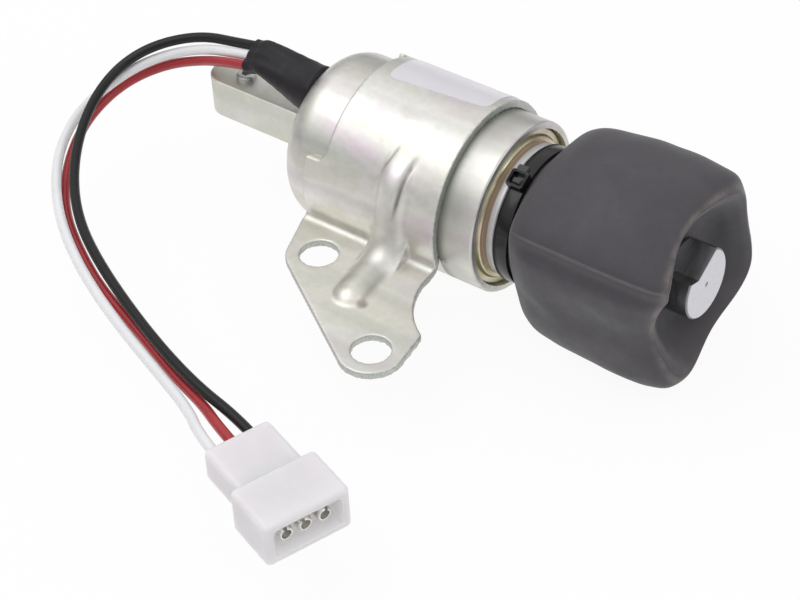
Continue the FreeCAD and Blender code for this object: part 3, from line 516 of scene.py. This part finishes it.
WIRES = {
    "black": (black_insulation, 0.2177, [
        (-69.210, 52.101, 28.997), (-76.906, 52.701, 26.898), (-88.8, 52.3, 24.9), (-99.2, 48.0, 21.9),
        (-106.5, 41.3, 18.6), (-109.7, 32.0, 15.2), (-108.2, 20.0, 11.8), (-102.7, 7.4, 8.6),
        (-94.5, -4.2, 6.2), (-83.6, -14.8, 5.0), (-70.7, -23.6, 4.6), (-52.8, -33.3, 4.9),
        (-30.2, -44.0, 5.8), (-9.4, -52.0, 6.8), (7.431, -55.803, 7.0), (15.861, -58.955, 7.0)]),
    "white": (white_insulation, 0.2240, [
        (-69.0, 49.2, 27.4), (-76.696, 49.800, 25.301), (-87.3, 49.6, 22.6), (-98.8, 46.8, 18.0),
        (-106.1, 40.2, 14.8), (-110.6, 31.9, 11.4), (-113.4, 22.1, 7.9), (-111.2, 11.0, 5.6),
        (-104.6, -0.7, 4.4), (-93.1, -13.3, 4.5), (-80.8, -23.2, 4.1), (-64.8, -33.1, 4.0),
        (-45.5, -42.4, 3.8), (-24.7, -51.1, 4.2), (-6.7, -59.0, 5.4), (3.509, -66.294, 7.0),
        (11.939, -69.445, 7.0)]),
    "red": (red_insulation, 0.2224, [
        (-68.790, 46.299, 25.803), (-76.487, 46.899, 23.704), (-89.0, 49.0, 18.0), (-100.1, 46.8, 13.6),
        (-107.6, 40.1, 10.2), (-111.3, 31.9, 7.2), (-111.6, 21.2, 4.4), (-107.7, 9.6, 2.4),
        (-100.0, -2.7, 1.6), (-89.6, -13.8, 1.6), (-76.5, -23.1, 1.6), (-60.2, -32.4, 1.6),
        (-39.0, -40.7, 1.7), (-19.0, -49.5, 2.6), (-5.1, -54.8, 4.3), (5.470, -61.048, 7.0),
        (13.9, -64.2, 7.0)]),
}
WIRE_D = 3.0


def plug_point(x, y, z):
    """From the plug's own axes to the part's."""
    return (PLUG_AT[0] + x * math.cos(PLUG_TURN) - y * math.sin(PLUG_TURN),
            PLUG_AT[1] + x * math.sin(PLUG_TURN) + y * math.cos(PLUG_TURN), z)


# A contact's barrel as (x, radius) from the cavity's rear to its turned-in mouth, and a floor inside it
CONTACT_LINE = [(12.9, 2.1), (27.6, 2.1), (28.4, 2.15), (31.6, 2.15), (32.5, 2.05), (33.0, 1.9), (33.15, 1.75)]
CONTACT_PITCH, CONTACT_WALL, CONTACT_STEPS = 5.6, 0.38, 44
CONTACT_GAP = 32                     # degrees left open by the rolled seam
CONTACT_LOBES = 0.035                # how far the barrel is from round
INNER_R, INNER_X, INNER_SIDES = 1.76, (29.4, 29.8), 32
SHARP = math.radians(40)             # edges sharper than this stay sharp in the shading


def build_terminal(colour, y0, open_at):
    """A rolled barrel: sheet bent round with an open seam, closed inside by a floor."""
    def spot(x, r, a):
        return plug_point(x, y0 + r * math.cos(a), PLUG_AT[2] + r * math.sin(a))

    verts, faces = [], []
    for x, r in CONTACT_LINE:
        for depth in (0, CONTACT_WALL):
            for k in range(CONTACT_STEPS + 1):
                a = math.radians(open_at + CONTACT_GAP / 2 + ((360 - CONTACT_GAP) * k) / CONTACT_STEPS)
                verts.append(spot(x, (r - depth) * (1 + CONTACT_LOBES * math.cos(3 * a)), a))
    side = CONTACT_STEPS + 1
    row = 2 * side
    for i in range(len(CONTACT_LINE) - 1):
        for k in range(CONTACT_STEPS):
            a, b = i * row + k, i * row + k + side
            faces.append((a, a + 1, a + 1 + row, a + row))
            faces.append((b + 1, b, b + row, b + 1 + row))
        for k in (0, CONTACT_STEPS):
            a = i * row + k
            faces.append((a, a + row, a + row + side, a + side))
    for i in (0, len(CONTACT_LINE) - 1):
        for k in range(CONTACT_STEPS):
            a = i * row + k
            faces.append((a, a + side, a + side + 1, a + 1))
    for x in INNER_X:
        first = len(verts)
        verts += [spot(x, INNER_R, 2 * math.pi * k / INNER_SIDES) for k in range(INNER_SIDES)]
        faces.append(tuple(range(first, first + INNER_SIDES)))
    first = len(verts) - 2 * INNER_SIDES
    for k in range(INNER_SIDES):
        a, b = first + k, first + (k + 1) % INNER_SIDES
        faces.append((a, b, b + INNER_SIDES, a + INNER_SIDES))
    made = mesh_object("contact_" + colour, verts, faces, tinned_brass)
    face_outward(made)
    made.data.set_sharp_from_angle(angle=SHARP)
    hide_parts("terminal_" + colour)
    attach(made, "housing")
    return made


contacts = {"black": build_terminal("black", CONTACT_PITCH, 70), "red": build_terminal("red", 0.0, 110),
            "white": build_terminal("white", -CONTACT_PITCH, 95)}


def add_wire(colour, mat, points):
    """A round cord through its control points; the table's length, in metres, is not used."""
    curve = bpy.data.curves.new("lead_" + colour, "CURVE")
    curve.dimensions = "3D"
    curve.bevel_depth = WIRE_D / 2 * MM
    curve.bevel_resolution = 5
    curve.use_fill_caps = True
    curve.resolution_u = 14
    spline = curve.splines.new("NURBS")
    spline.points.add(len(points) - 1)
    for point, (x, y, z) in zip(spline.points, points):
        point.co = (x * MM, y * MM, z * MM, 1.0)
    spline.order_u = 3
    spline.use_endpoint_u = True
    lead = link_object("lead_" + colour, curve, mat)
    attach(lead, "housing")
    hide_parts("wire_" + colour)


for colour, (mat, length, points) in WIRES.items():
    add_wire(colour, mat, points)


# Boot

# The solid's own sizes: its ends and radii along and about the coil axis
# KEYS: corners and flats in turn, as (angle, taller by, further ahead by, rim further out by)
# FORM: (share of the length, growth) for a flat, the same for a corner, and the share of the rim's own moves
# TUCK: how far a row is from the floor and its rim, as shares, on the way in
NECK_X, SHOULDER_X, FRONT_X, FLOOR_X = 28.25, 33.25, 85.9, 75.0
NECK_R, FLAT_R, CORNER_R, FLOOR_R, LIP_R = 18.9, 27.8, 32.2, 12.6, 9.6
KEYS = [(50.0, -0.9, -1.6, -0.3), (98.0, 0.0, -0.4, 0.0), (149.5, -0.7, -0.4, -0.8), (195.0, -0.4, -0.3, 0.0),
        (240.0, 0.8, 0.2, -0.8), (288.0, 0.0, 3.0, -0.8), (335.0, -0.4, -1.2, -0.8), (373.0, 0.0, 2.8, 1.6)]
FORM = [(0.000, 0.00, 0.000, 0.00, 0.0), (0.007, 0.04, 0.007, 0.06, 0.0), (0.020, 0.14, 0.020, 0.25, 0.0),
        (0.048, 0.31, 0.048, 0.50, 0.0), (0.094, 0.54, 0.094, 0.72, 0.0), (0.185, 0.84, 0.185, 0.88, 0.0),
        (0.356, 0.98, 0.356, 0.94, 0.0), (0.527, 1.00, 0.527, 0.96, 0.0), (0.660, 0.98, 0.660, 0.99, 0.1),
        (0.745, 0.92, 0.774, 1.00, 0.3), (0.812, 0.80, 0.859, 0.98, 0.6), (0.861, 0.63, 0.926, 0.93, 0.8),
        (0.888, 0.46, 0.968, 0.80, 1.0), (0.903, 0.30, 0.996, 0.63, 1.0)]
TUCK = [(0.965, 0.90), (0.86, 0.78), (0.60, 0.60), (0.30, 0.42), (0.08, 0.22), (0.0, 0.0)]
SEAM = 149.5                         # angle of the moulded seam
RIM_AT = 14.6 / 23                   # where the fold's crest lies along a profile's points
# The rubber's own hollows and swellings: (height, angle, spread, x, spread)
WAVES = [(-1.9, 189, 17, 62, 13), (0.7, 224, 7, 70, 10), (0.9, 41, 20, 60.5, 9), (-1.6, 203, 24, 41, 6)]
BOOT_WALL, BOOT_ROWS = 1.4, 150


def boot_line(k):
    """The boot's profile at one key angle, as (x, radius) from the neck's end to the lip."""
    _, stand, ahead, outward = KEYS[k]
    line = [(NECK_X, NECK_R), ((NECK_X + SHOULDER_X) / 2, NECK_R)]
    for row in FORM:
        share, growth = row[2 * (k % 2 == 0):][:2]
        full = (CORNER_R if k % 2 == 0 else FLAT_R) + stand - NECK_R
        line.append((SHOULDER_X + share * (FRONT_X - SHOULDER_X) + ahead * row[4],
                     NECK_R + growth * full + outward * row[4]))
    x, r = line[-1]
    line += [(FLOOR_X + (x - FLOOR_X) * deep, FLOOR_R + (r - FLOOR_R) * out) for deep, out in TUCK]
    return line + [(FLOOR_X, (FLOOR_R + LIP_R) / 2), (FLOOR_X, LIP_R)]


def between_keys(angle):
    """The two key angles round an angle and the share of the way to the second, along a rounded square."""
    angle = (angle - KEYS[0][0]) % 360 + KEYS[0][0]
    for k, key in enumerate(KEYS):
        after = (k + 1) % len(KEYS)
        end = KEYS[after][0] + (0 if after else 360)
        if angle <= end:
            break
    way = (angle - key[0]) / (end - key[0])
    phi = math.radians(45 * (way if k % 2 else 1 - way))
    power = 7.0 if 2 in (k, after) else 3.6   # the corner at the seam is the sharpest
    reach = (math.cos(phi) ** power + math.sin(phi) ** power) ** (-1 / power)
    share = (reach - 1) / (2 ** (0.5 - 1 / power) - 1)
    return k, after, share if k % 2 else 1 - share


def boot_angles():
    """Even steps round the boot, and finer ones at the seam."""
    rough = [a for a in np.arange(0, 360, 1.25) if abs(a - SEAM) > 4]
    return sorted(rough + list(np.arange(SEAM - 4, SEAM + 4.01, 0.4)))


def boot_ripple(angle, x, point, body):
    """How far the rubber stands out from its plain form, with the seam's bead in its valley."""
    ripple = noise.noise(point * 0.055 + Vector((3.1, 7.7, 1.3))) * 0.20
    ripple += noise.noise(point * 0.15 + Vector((9.1, 2.7, 5.3))) * 0.22
    ripple -= 1.3 * math.exp(-((angle - SEAM - 6) / 4.2) ** 2) * body
    for height, at, wide, middle, long in WAVES:
        ripple += height * math.exp(-((angle - at) / wide) ** 2 - ((x - middle) / long) ** 2)
    return ripple + 0.34 * math.exp(-((angle - SEAM) / 0.7) ** 2)


def build_boot():
    lines = [spline_through(boot_line(k), BOOT_ROWS) for k in range(len(KEYS))]
    angles = boot_angles()
    around = len(angles)
    keys = [between_keys(a) for a in angles]
    verts, faces, rims, seam_highlights = [], [], [], []
    for i in range(BOOT_ROWS):
        for angle, (first, second, share) in zip(angles, keys):
            x, r = lines[first][i] + (lines[second][i] - lines[first][i]) * share
            a = math.radians(angle)
            point = Vector((x, math.cos(a) * r, math.sin(a) * r))
            # Ripples start clear of the neck and of the tip; the seam and its valley clear of the neck
            free = step(x, 34.5, 46.5) * step(r, 11, 17)
            body = step(x, 34, 44)
            r += boot_ripple(angle, x, point, body) * free
            verts.append((x, AXIS_Y + math.cos(a) * r, AXIS_Z + math.sin(a) * r))
            # Share of the painted highlight on the seam's ridge
            seam_highlights.append(math.exp(-((angle - SEAM) / 0.55) ** 2) * body * step(r, 20, 25))
            # Share of the fold crest's light line: wear with a painted highlight
            rims.append(math.exp(-((i / (BOOT_ROWS - 1) - RIM_AT) / 0.020) ** 2))
    for i in range(BOOT_ROWS - 1):
        for k in range(around):
            a, b = i * around + k, i * around + (k + 1) % around
            faces.append((a, b, b + around, a + around))
    boot = mesh_object("boot_skin", verts, faces, boot_rubber)
    set_values(boot.data, "rim", rims)
    set_values(boot.data, "seam", seam_highlights)
    face_outward(boot)
    wall = boot.modifiers.new("wall", "SOLIDIFY")
    wall.thickness = BOOT_WALL * MM
    wall.offset = -1
    apply_modifiers(boot)
    return boot


boot = build_boot()
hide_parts("boot")
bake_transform(boot)


# Bracket: the solid's own form, with the soft edges of a stamping

def soft_copy(name, node, voxel, rounds):
    """The node's mesh, remeshed and smoothed, so that its sharp edges turn soft."""
    soft = link_object(name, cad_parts[node].data.copy())
    grid = soft.modifiers.new("grid", "REMESH")
    grid.mode = "VOXEL"
    grid.voxel_size = voxel * MM
    grid.use_smooth_shade = True
    ease = soft.modifiers.new("ease", "SMOOTH")
    ease.factor = 0.5
    ease.iterations = rounds
    apply_modifiers(soft)
    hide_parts(node)
    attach(soft, "housing")
    return soft


bracket = soft_copy("bracket_stamping", "mounting_bracket", 0.46, 2)
dress(bracket, zinc_bracket)


BEAD_X = -1                          # middle of the bead
CREASE_DEPTH = 0.75


def fade_bead(reach, angle, outside):
    """How far the bead comes down at its upper end, where it fades into the strap."""
    risen = step(angle, 122, 154)
    return max(0.0, reach - (STRAP_R if outside else CASE_R)) * (1 - risen * risen * (3 - 2 * risen))


def crease(x, angle):
    """Share of the creases' depth: a deep one ahead of the bead's upper end and a light one behind it."""
    front = math.exp(-((x - 3.1 + 0.04 * (angle - 129)) / 0.55) ** 2)
    front *= step(angle, 131, 140) * step(angle, 172, 160)
    rear = math.exp(-((x + 3.3 + 0.12 * (angle - 128)) / 0.5) ** 2) * 0.4
    return max(front, rear * step(angle, 128, 133) * step(angle, 150, 142))


def shape_and_mark(data):
    """Shape the bead's upper end, and mark which vertices lie on a cut edge, in a crease's painted shade or in
    the darkening at the strap's root.
    """
    edges, crease_shade_and_root_dark = [], []
    for vert in data.vertices:
        x, y, z = vert.co / MM
        n = vert.normal
        across = abs(x - BEAD_X)
        reach = math.hypot(y - AXIS_Y, z - AXIS_Z)
        angle = math.degrees(math.atan2(z - AXIS_Z, y - AXIS_Y)) % 360
        outward = Vector((0, y - AXIS_Y, z - AXIS_Z)) / reach
        deep = 0.0
        if across < 8 and 118 < angle < 156:
            outside = n.y * (y - AXIS_Y) + n.z * (z - AXIS_Z) > 0
            vert.co -= outward * fade_bead(reach, angle, outside) * MM
        if reach > 27 and 128 < angle < 170 and abs(x) < 8:
            deep = crease(x, angle)
            vert.co -= outward * CREASE_DEPTH * deep * MM
        if z > 6 or y > 27:              # the strap; below is the flange
            edge = step(abs(n.x), 0.40, 0.65) * step(reach, 25.0, 25.3)
            if across < 10 and 120 < angle < 200:
                edge = 0.0
        else:
            edge = step(abs(n.z), 0.75, 0.45) * step(z, 2.9, 2.5)
            if across < 7.5 and -4.8 < y < 24:
                edge = 0.0
        # Darker at the strap's root beside the bead, kept with the painted shade of the creases
        root = math.exp(-(math.hypot(y - 24.3, z - 4.6) / 1.6) ** 2) * (x > -29)
        root = root * (1 - step(across, 9, 7)) * 0.35
        edges.append(edge)
        crease_shade_and_root_dark.append(max(0.9 * deep, root))
    set_values(data, "edge", edges)
    set_values(data, "crease_shade_and_root_dark", crease_shade_and_root_dark)


shape_and_mark(bracket.data)

WELD_X, WELD_R, WELD_ANGLE = 15.0, 25.35, math.radians(194.5)


def build_weld():
    """A small spatter of weld on the can, beside the strap's front edge."""
    data = bpy.data.meshes.new("weld_spot")
    ball = bmesh.new()
    bmesh.ops.create_icosphere(ball, subdivisions=4, radius=1.0)
    for vert in ball.verts:
        p = vert.co * (1 + 0.25 * noise.noise(vert.co * 1.7))
        out, aside = WELD_R + p.z * 0.55, p.y * 0.9
        vert.co = Vector((WELD_X + p.x * 0.85,
                          AXIS_Y + out * math.cos(WELD_ANGLE) - aside * math.sin(WELD_ANGLE),
                          AXIS_Z + out * math.sin(WELD_ANGLE) + aside * math.cos(WELD_ANGLE))) * MM
    ball.to_mesh(data)
    ball.free()
    shade_smooth(data)
    spot = link_object("weld_spot", data, zinc_case)
    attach(spot, "housing")


build_weld()


# Lofted pieces

def loft(name, rings, mat):
    """Rings of equally many points, skinned in order and closed at both ends."""
    verts = [tuple(p) for ring in rings for p in ring]
    size = len(rings[0])
    faces = []
    for i in range(len(rings) - 1):
        for k in range(size):
            a, b = i * size + k, i * size + (k + 1) % size
            faces.append((a, b, b + size, a + size))
    faces.append(tuple(range(size - 1, -1, -1)))
    faces.append(tuple(range((len(rings) - 1) * size, len(rings) * size)))
    made = mesh_object(name, verts, faces, mat)
    face_outward(made)
    return made


# Sleeve: shrunk over the three wires, round at the can and flat at its end

SLEEVE_ROWS, SLEEVE_SIDES = 60, 72
WIRE_STEP = 3.32                     # from wire to wire under the film


def sleeve_flow():
    """Rows along the sleeve: centre, half width, half thickness and how far it follows the wires."""
    out = Vector((-7.7, 0.6, -2.1)).normalized()
    end = Vector((-69.0, 49.2, 27.4)) - out * 1.0
    root = Vector((-45.0, 47.99, 25.99))
    keys = [(Vector((-42.0, 47.99, 25.99)), 7.45, 7.4, 0.0), (root, 7.4, 7.2, 0.0),
            ((root + end - out * 8) / 2 + Vector((0, 0, -0.2)), 6.4, 5.0, 0.2),
            (end - out * 6, 5.4, 3.0, 0.7), (end - out * 2.5, 5.25, 2.35, 1.0), (end, 5.35, 2.3, 1.0)]
    return spline_through([(*centre, a, b, w) for centre, a, b, w in keys], SLEEVE_ROWS)


def sleeve_ring(flow, k, shrink, shift):
    """One row's outline, drawn in by shrink and moved ahead by shift."""
    x, y, z, a, b, ridge = flow[k]
    ahead = Vector(flow[min(k + 1, SLEEVE_ROWS - 1)][:3]) - Vector(flow[max(k - 1, 0)][:3])
    ahead.normalize()
    across = Vector((-0.2, 2.9, 1.6)).normalized()
    u = (across - ahead * across.dot(ahead)).normalized()
    v = ahead.cross(u)
    centre = Vector((x, y, z)) + ahead * shift
    power = 2 + 1.4 * ridge
    found = []
    for j in range(SLEEVE_SIDES):
        phi = 2 * math.pi * j / SLEEVE_SIDES
        c, d = math.cos(phi), math.sin(phi)
        flat = (abs(c) ** power + abs(d) ** power) ** (-1 / power)
        wide, thick = (a - shrink) * c * flat, (b - shrink) * d * flat
        thick *= 1 - 0.13 * ridge * (0.5 - 0.5 * math.cos(2 * math.pi * wide / WIRE_STEP))
        spot = centre + u * wide + v * thick
        ripple = noise.noise(spot * 0.35) * 0.16 + noise.noise(spot * 1.1) * 0.05
        found.append(spot + (spot - centre).normalized() * ripple * (0 if shrink else 1))
    return found


def build_sleeve():
    flow, last = sleeve_flow(), SLEEVE_ROWS - 1
    rings = [sleeve_ring(flow, k, 0.0, 0.0) for k in range(SLEEVE_ROWS)]
    for shrink, shift in ((0.15, 0.25), (0.5, 0.2), (0.65, -0.4), (0.7, -3.0)):
        rings.append(sleeve_ring(flow, last, shrink, shift))
    return loft("sleeve_skin", rings, shrink_sleeve)


sleeve = build_sleeve()
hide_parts("sleeve")
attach(sleeve, "housing")


# Spring: coils wound over the length of the model's spring, between the back stop and the plunger

COIL_WIRE, COIL_R, COIL_TURNS = 0.6, 3.6, 11   # the wire's radius, the coil's mean radius
COIL_CLOSED = 1.26                   # pitch of the closed turn at each end
COIL_STEPS, COIL_SIDES = 40, 12


def coil_x(t, first, last):
    """Where the wire is along the axis after t turns."""
    if t < 1:
        return first + COIL_CLOSED * t
    if t > COIL_TURNS - 1:
        return last - COIL_CLOSED * (COIL_TURNS - t)
    return first + COIL_CLOSED + (last - first - 2 * COIL_CLOSED) * (t - 1) / (COIL_TURNS - 2)


def build_spring():
    xs = [vert.co.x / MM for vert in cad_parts["return_spring"].data.vertices]
    first, last = min(xs) + COIL_WIRE, max(xs) - COIL_WIRE
    path = []
    for k in range(COIL_TURNS * COIL_STEPS + 1):
        t = k / COIL_STEPS
        a = 2 * math.pi * t
        path.append(Vector((coil_x(t, first, last), AXIS_Y + COIL_R * math.cos(a),
                            AXIS_Z + COIL_R * math.sin(a))))
    rings = []
    for k, spot in enumerate(path):
        ahead = (path[min(k + 1, len(path) - 1)] - path[max(k - 1, 0)]).normalized()
        out = Vector((0, spot.y - AXIS_Y, spot.z - AXIS_Z)).normalized()
        side = ahead.cross(out).normalized()
        turns = [2 * math.pi * j / COIL_SIDES for j in range(COIL_SIDES)]
        rings.append([spot + COIL_WIRE * (out * math.cos(a) + side * math.sin(a)) for a in turns])
    spring = loft("spring_coils", rings, spring_steel)
    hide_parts("return_spring")
    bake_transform(spring)


build_spring()


# Tie: a band with rounded edges, a lock with its slot and pawl, and a short cut tail

LOCK_TURN = math.radians(117.0 - 90)
BAND_REAR, BAND_FRONT, BAND_IN_R, BAND_OUT_R, BAND_ROUND, BAND_STEPS = 28.45, 33.05, 18.98, 20.2, 0.35, 180


def tie_block(size, centre, slot, rounding):
    """A rounded block in the tie's own axes: along the coil, round the neck, outward.

    A slot is (width of the rim left round it, depth).
    """
    data = bmesh.new()
    bmesh.ops.create_cube(data, size=1)
    bmesh.ops.scale(data, vec=Vector(size), verts=data.verts)
    if slot:
        top = max(data.faces, key=lambda f: f.calc_center_median().z)
        bmesh.ops.inset_region(data, faces=[top], thickness=slot[0])
        sunk = bmesh.ops.extrude_discrete_faces(data, faces=[top])["faces"][0]
        bmesh.ops.translate(data, vec=Vector((0, 0, -slot[1])), verts=sunk.verts)
    bmesh.ops.bevel(data, geom=list(data.edges), offset=rounding, segments=2, affect="EDGES",
                    clamp_overlap=True)
    bmesh.ops.translate(data, vec=Vector(centre), verts=data.verts)
    for vert in data.verts:
        x, y, z = vert.co
        vert.co = Vector((x, AXIS_Y + y * math.cos(LOCK_TURN) - z * math.sin(LOCK_TURN),
                          AXIS_Z + y * math.sin(LOCK_TURN) + z * math.cos(LOCK_TURN))) * MM
    block = bpy.data.meshes.new("block")
    data.to_mesh(block)
    data.free()
    return block


def band_outline():
    """The band's section, as (x, radius)."""
    x0, x1, low, high, r = BAND_REAR, BAND_FRONT, BAND_IN_R, BAND_OUT_R, BAND_ROUND
    return [(x0, low + r), (x0, high - r), (x0 + 0.1, high - 0.1), (x0 + r, high), (x1 - r, high),
            (x1 - 0.1, high - 0.1), (x1, high - r), (x1, low + r), (x1 - r, low), (x0 + r, low)]


def build_tie():
    outline = band_outline()
    n = len(outline)
    verts, faces = [], []
    for k in range(BAND_STEPS):
        a = 2 * math.pi * k / BAND_STEPS
        verts += [(x, AXIS_Y + rr * math.cos(a), AXIS_Z + rr * math.sin(a)) for x, rr in outline]
        after = (k + 1) % BAND_STEPS
        for j in range(n):
            beside = (j + 1) % n
            faces.append((k * n + j, after * n + j, after * n + beside, k * n + beside))
    tie = mesh_object("tie_band", verts, faces, black_nylon)
    blocks = [
        tie_block((5.2, 5.0, 3.7), (30.6, -0.2, 21.4), (0.9, 2.2), 0.35),   # lock
        tie_block((2.6, 1.5, 1.2), (30.7, -0.6, 21.9), None, 0.2),          # pawl
        tie_block((3.6, 2.2, 1.3), (30.6, 3.0, 22.2), None, 0.3)]           # cut tail
    face_outward(tie, *blocks)
    for block in blocks:
        bpy.data.meshes.remove(block)
    shade_smooth(tie.data)
    tie.data.set_sharp_from_angle(angle=SHARP)
    return tie


tie = build_tie()
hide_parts("boot_tie")
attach(tie, "housing")


# Floor and light, in metres

FLOOR_HALF, FLOOR_DROP = 3.0, 0.0012
FLOOR_GLOW = 0.93                    # share of plain white in what is seen of the floor

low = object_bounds()[0]
floor_data = bpy.data.meshes.new("floor")
floor_data.from_pydata([(FLOOR_HALF * x, FLOOR_HALF * y, low[2] - FLOOR_DROP)
                        for x, y in ((-1, -1), (1, -1), (1, 1), (-1, 1))], [], [(0, 1, 2, 3)])
floor = link_object("floor", floor_data)


def floor_look():
    """Pale floor that the camera and reflections see as near white, so that it adds no light."""
    look = Look("floor_white")
    grain = look.noise(60, 2)
    look.set(Base_Color=look.mix(grain, (0.90, 0.90, 0.90), (0.92, 0.92, 0.92)), Roughness=0.9,
             Specular_IOR_Level=0.0)
    glow = look.node("ShaderNodeEmission")
    glow.inputs["Color"].default_value = (1, 1, 1, 1)
    glow.inputs["Strength"].default_value = 1.0
    path = look.node("ShaderNodeLightPath")
    seen = look.math("MAXIMUM", path.outputs["Is Camera Ray"], path.outputs["Is Glossy Ray"])
    seen = look.math("MAXIMUM", seen, path.outputs["Is Transmission Ray"])
    blend = look.node("ShaderNodeMixShader")
    look.link(look.times(seen, FLOOR_GLOW), blend.inputs[0])
    look.link(look.shader.outputs[0], blend.inputs[1])
    look.link(glow.outputs[0], blend.inputs[2])
    look.link(blend.outputs[0], look.tree.nodes["Material Output"].inputs["Surface"])
    return look.mat


dress(floor, floor_look())

# Greys of the room from straight down (0) through the horizon (0.5) to straight up (1)
SKY = ((0.0, 0.25), (0.5, 0.22), (0.58, 0.30), (0.68, 0.75), (1.0, 0.95))

world = bpy.data.worlds.new("studio")
scene.world = world
world.use_nodes = True
tree = world.node_tree
background = tree.nodes["Background"]
place_of = tree.nodes.new("ShaderNodeTexCoord")
height = tree.nodes.new("ShaderNodeSeparateXYZ")
tree.links.new(place_of.outputs["Generated"], height.inputs[0])
half = tree.nodes.new("ShaderNodeMapRange")
half.inputs["From Min"].default_value = -1.0
tree.links.new(height.outputs["Z"], half.inputs["Value"])
sky = tree.nodes.new("ShaderNodeValToRGB")
fill_ramp(sky, [(place, (grey, grey, grey)) for place, grey in SKY])
tree.links.new(half.outputs["Result"], sky.inputs["Fac"])
tree.links.new(sky.outputs["Color"], background.inputs["Color"])
background.inputs["Strength"].default_value = 0.95

AIM = (0, 0.02, 0.01)


def softbox(name, at, width, depth, power):
    lamp = bpy.data.lights.new(name, "AREA")
    lamp.shape = "RECTANGLE"
    lamp.size = width
    lamp.size_y = depth
    lamp.energy = power
    obj = bpy.data.objects.new(name, lamp)
    scene.collection.objects.link(obj)
    obj.location = at
    obj.rotation_euler = (Vector(AIM) - Vector(at)).to_track_quat("-Z", "Y").to_euler()


softbox("key", (-0.30, -0.20, 0.75), 0.8, 0.6, 1.9)
softbox("fill", (0.7, 0.1, 0.45), 0.4, 0.4, 0.6)
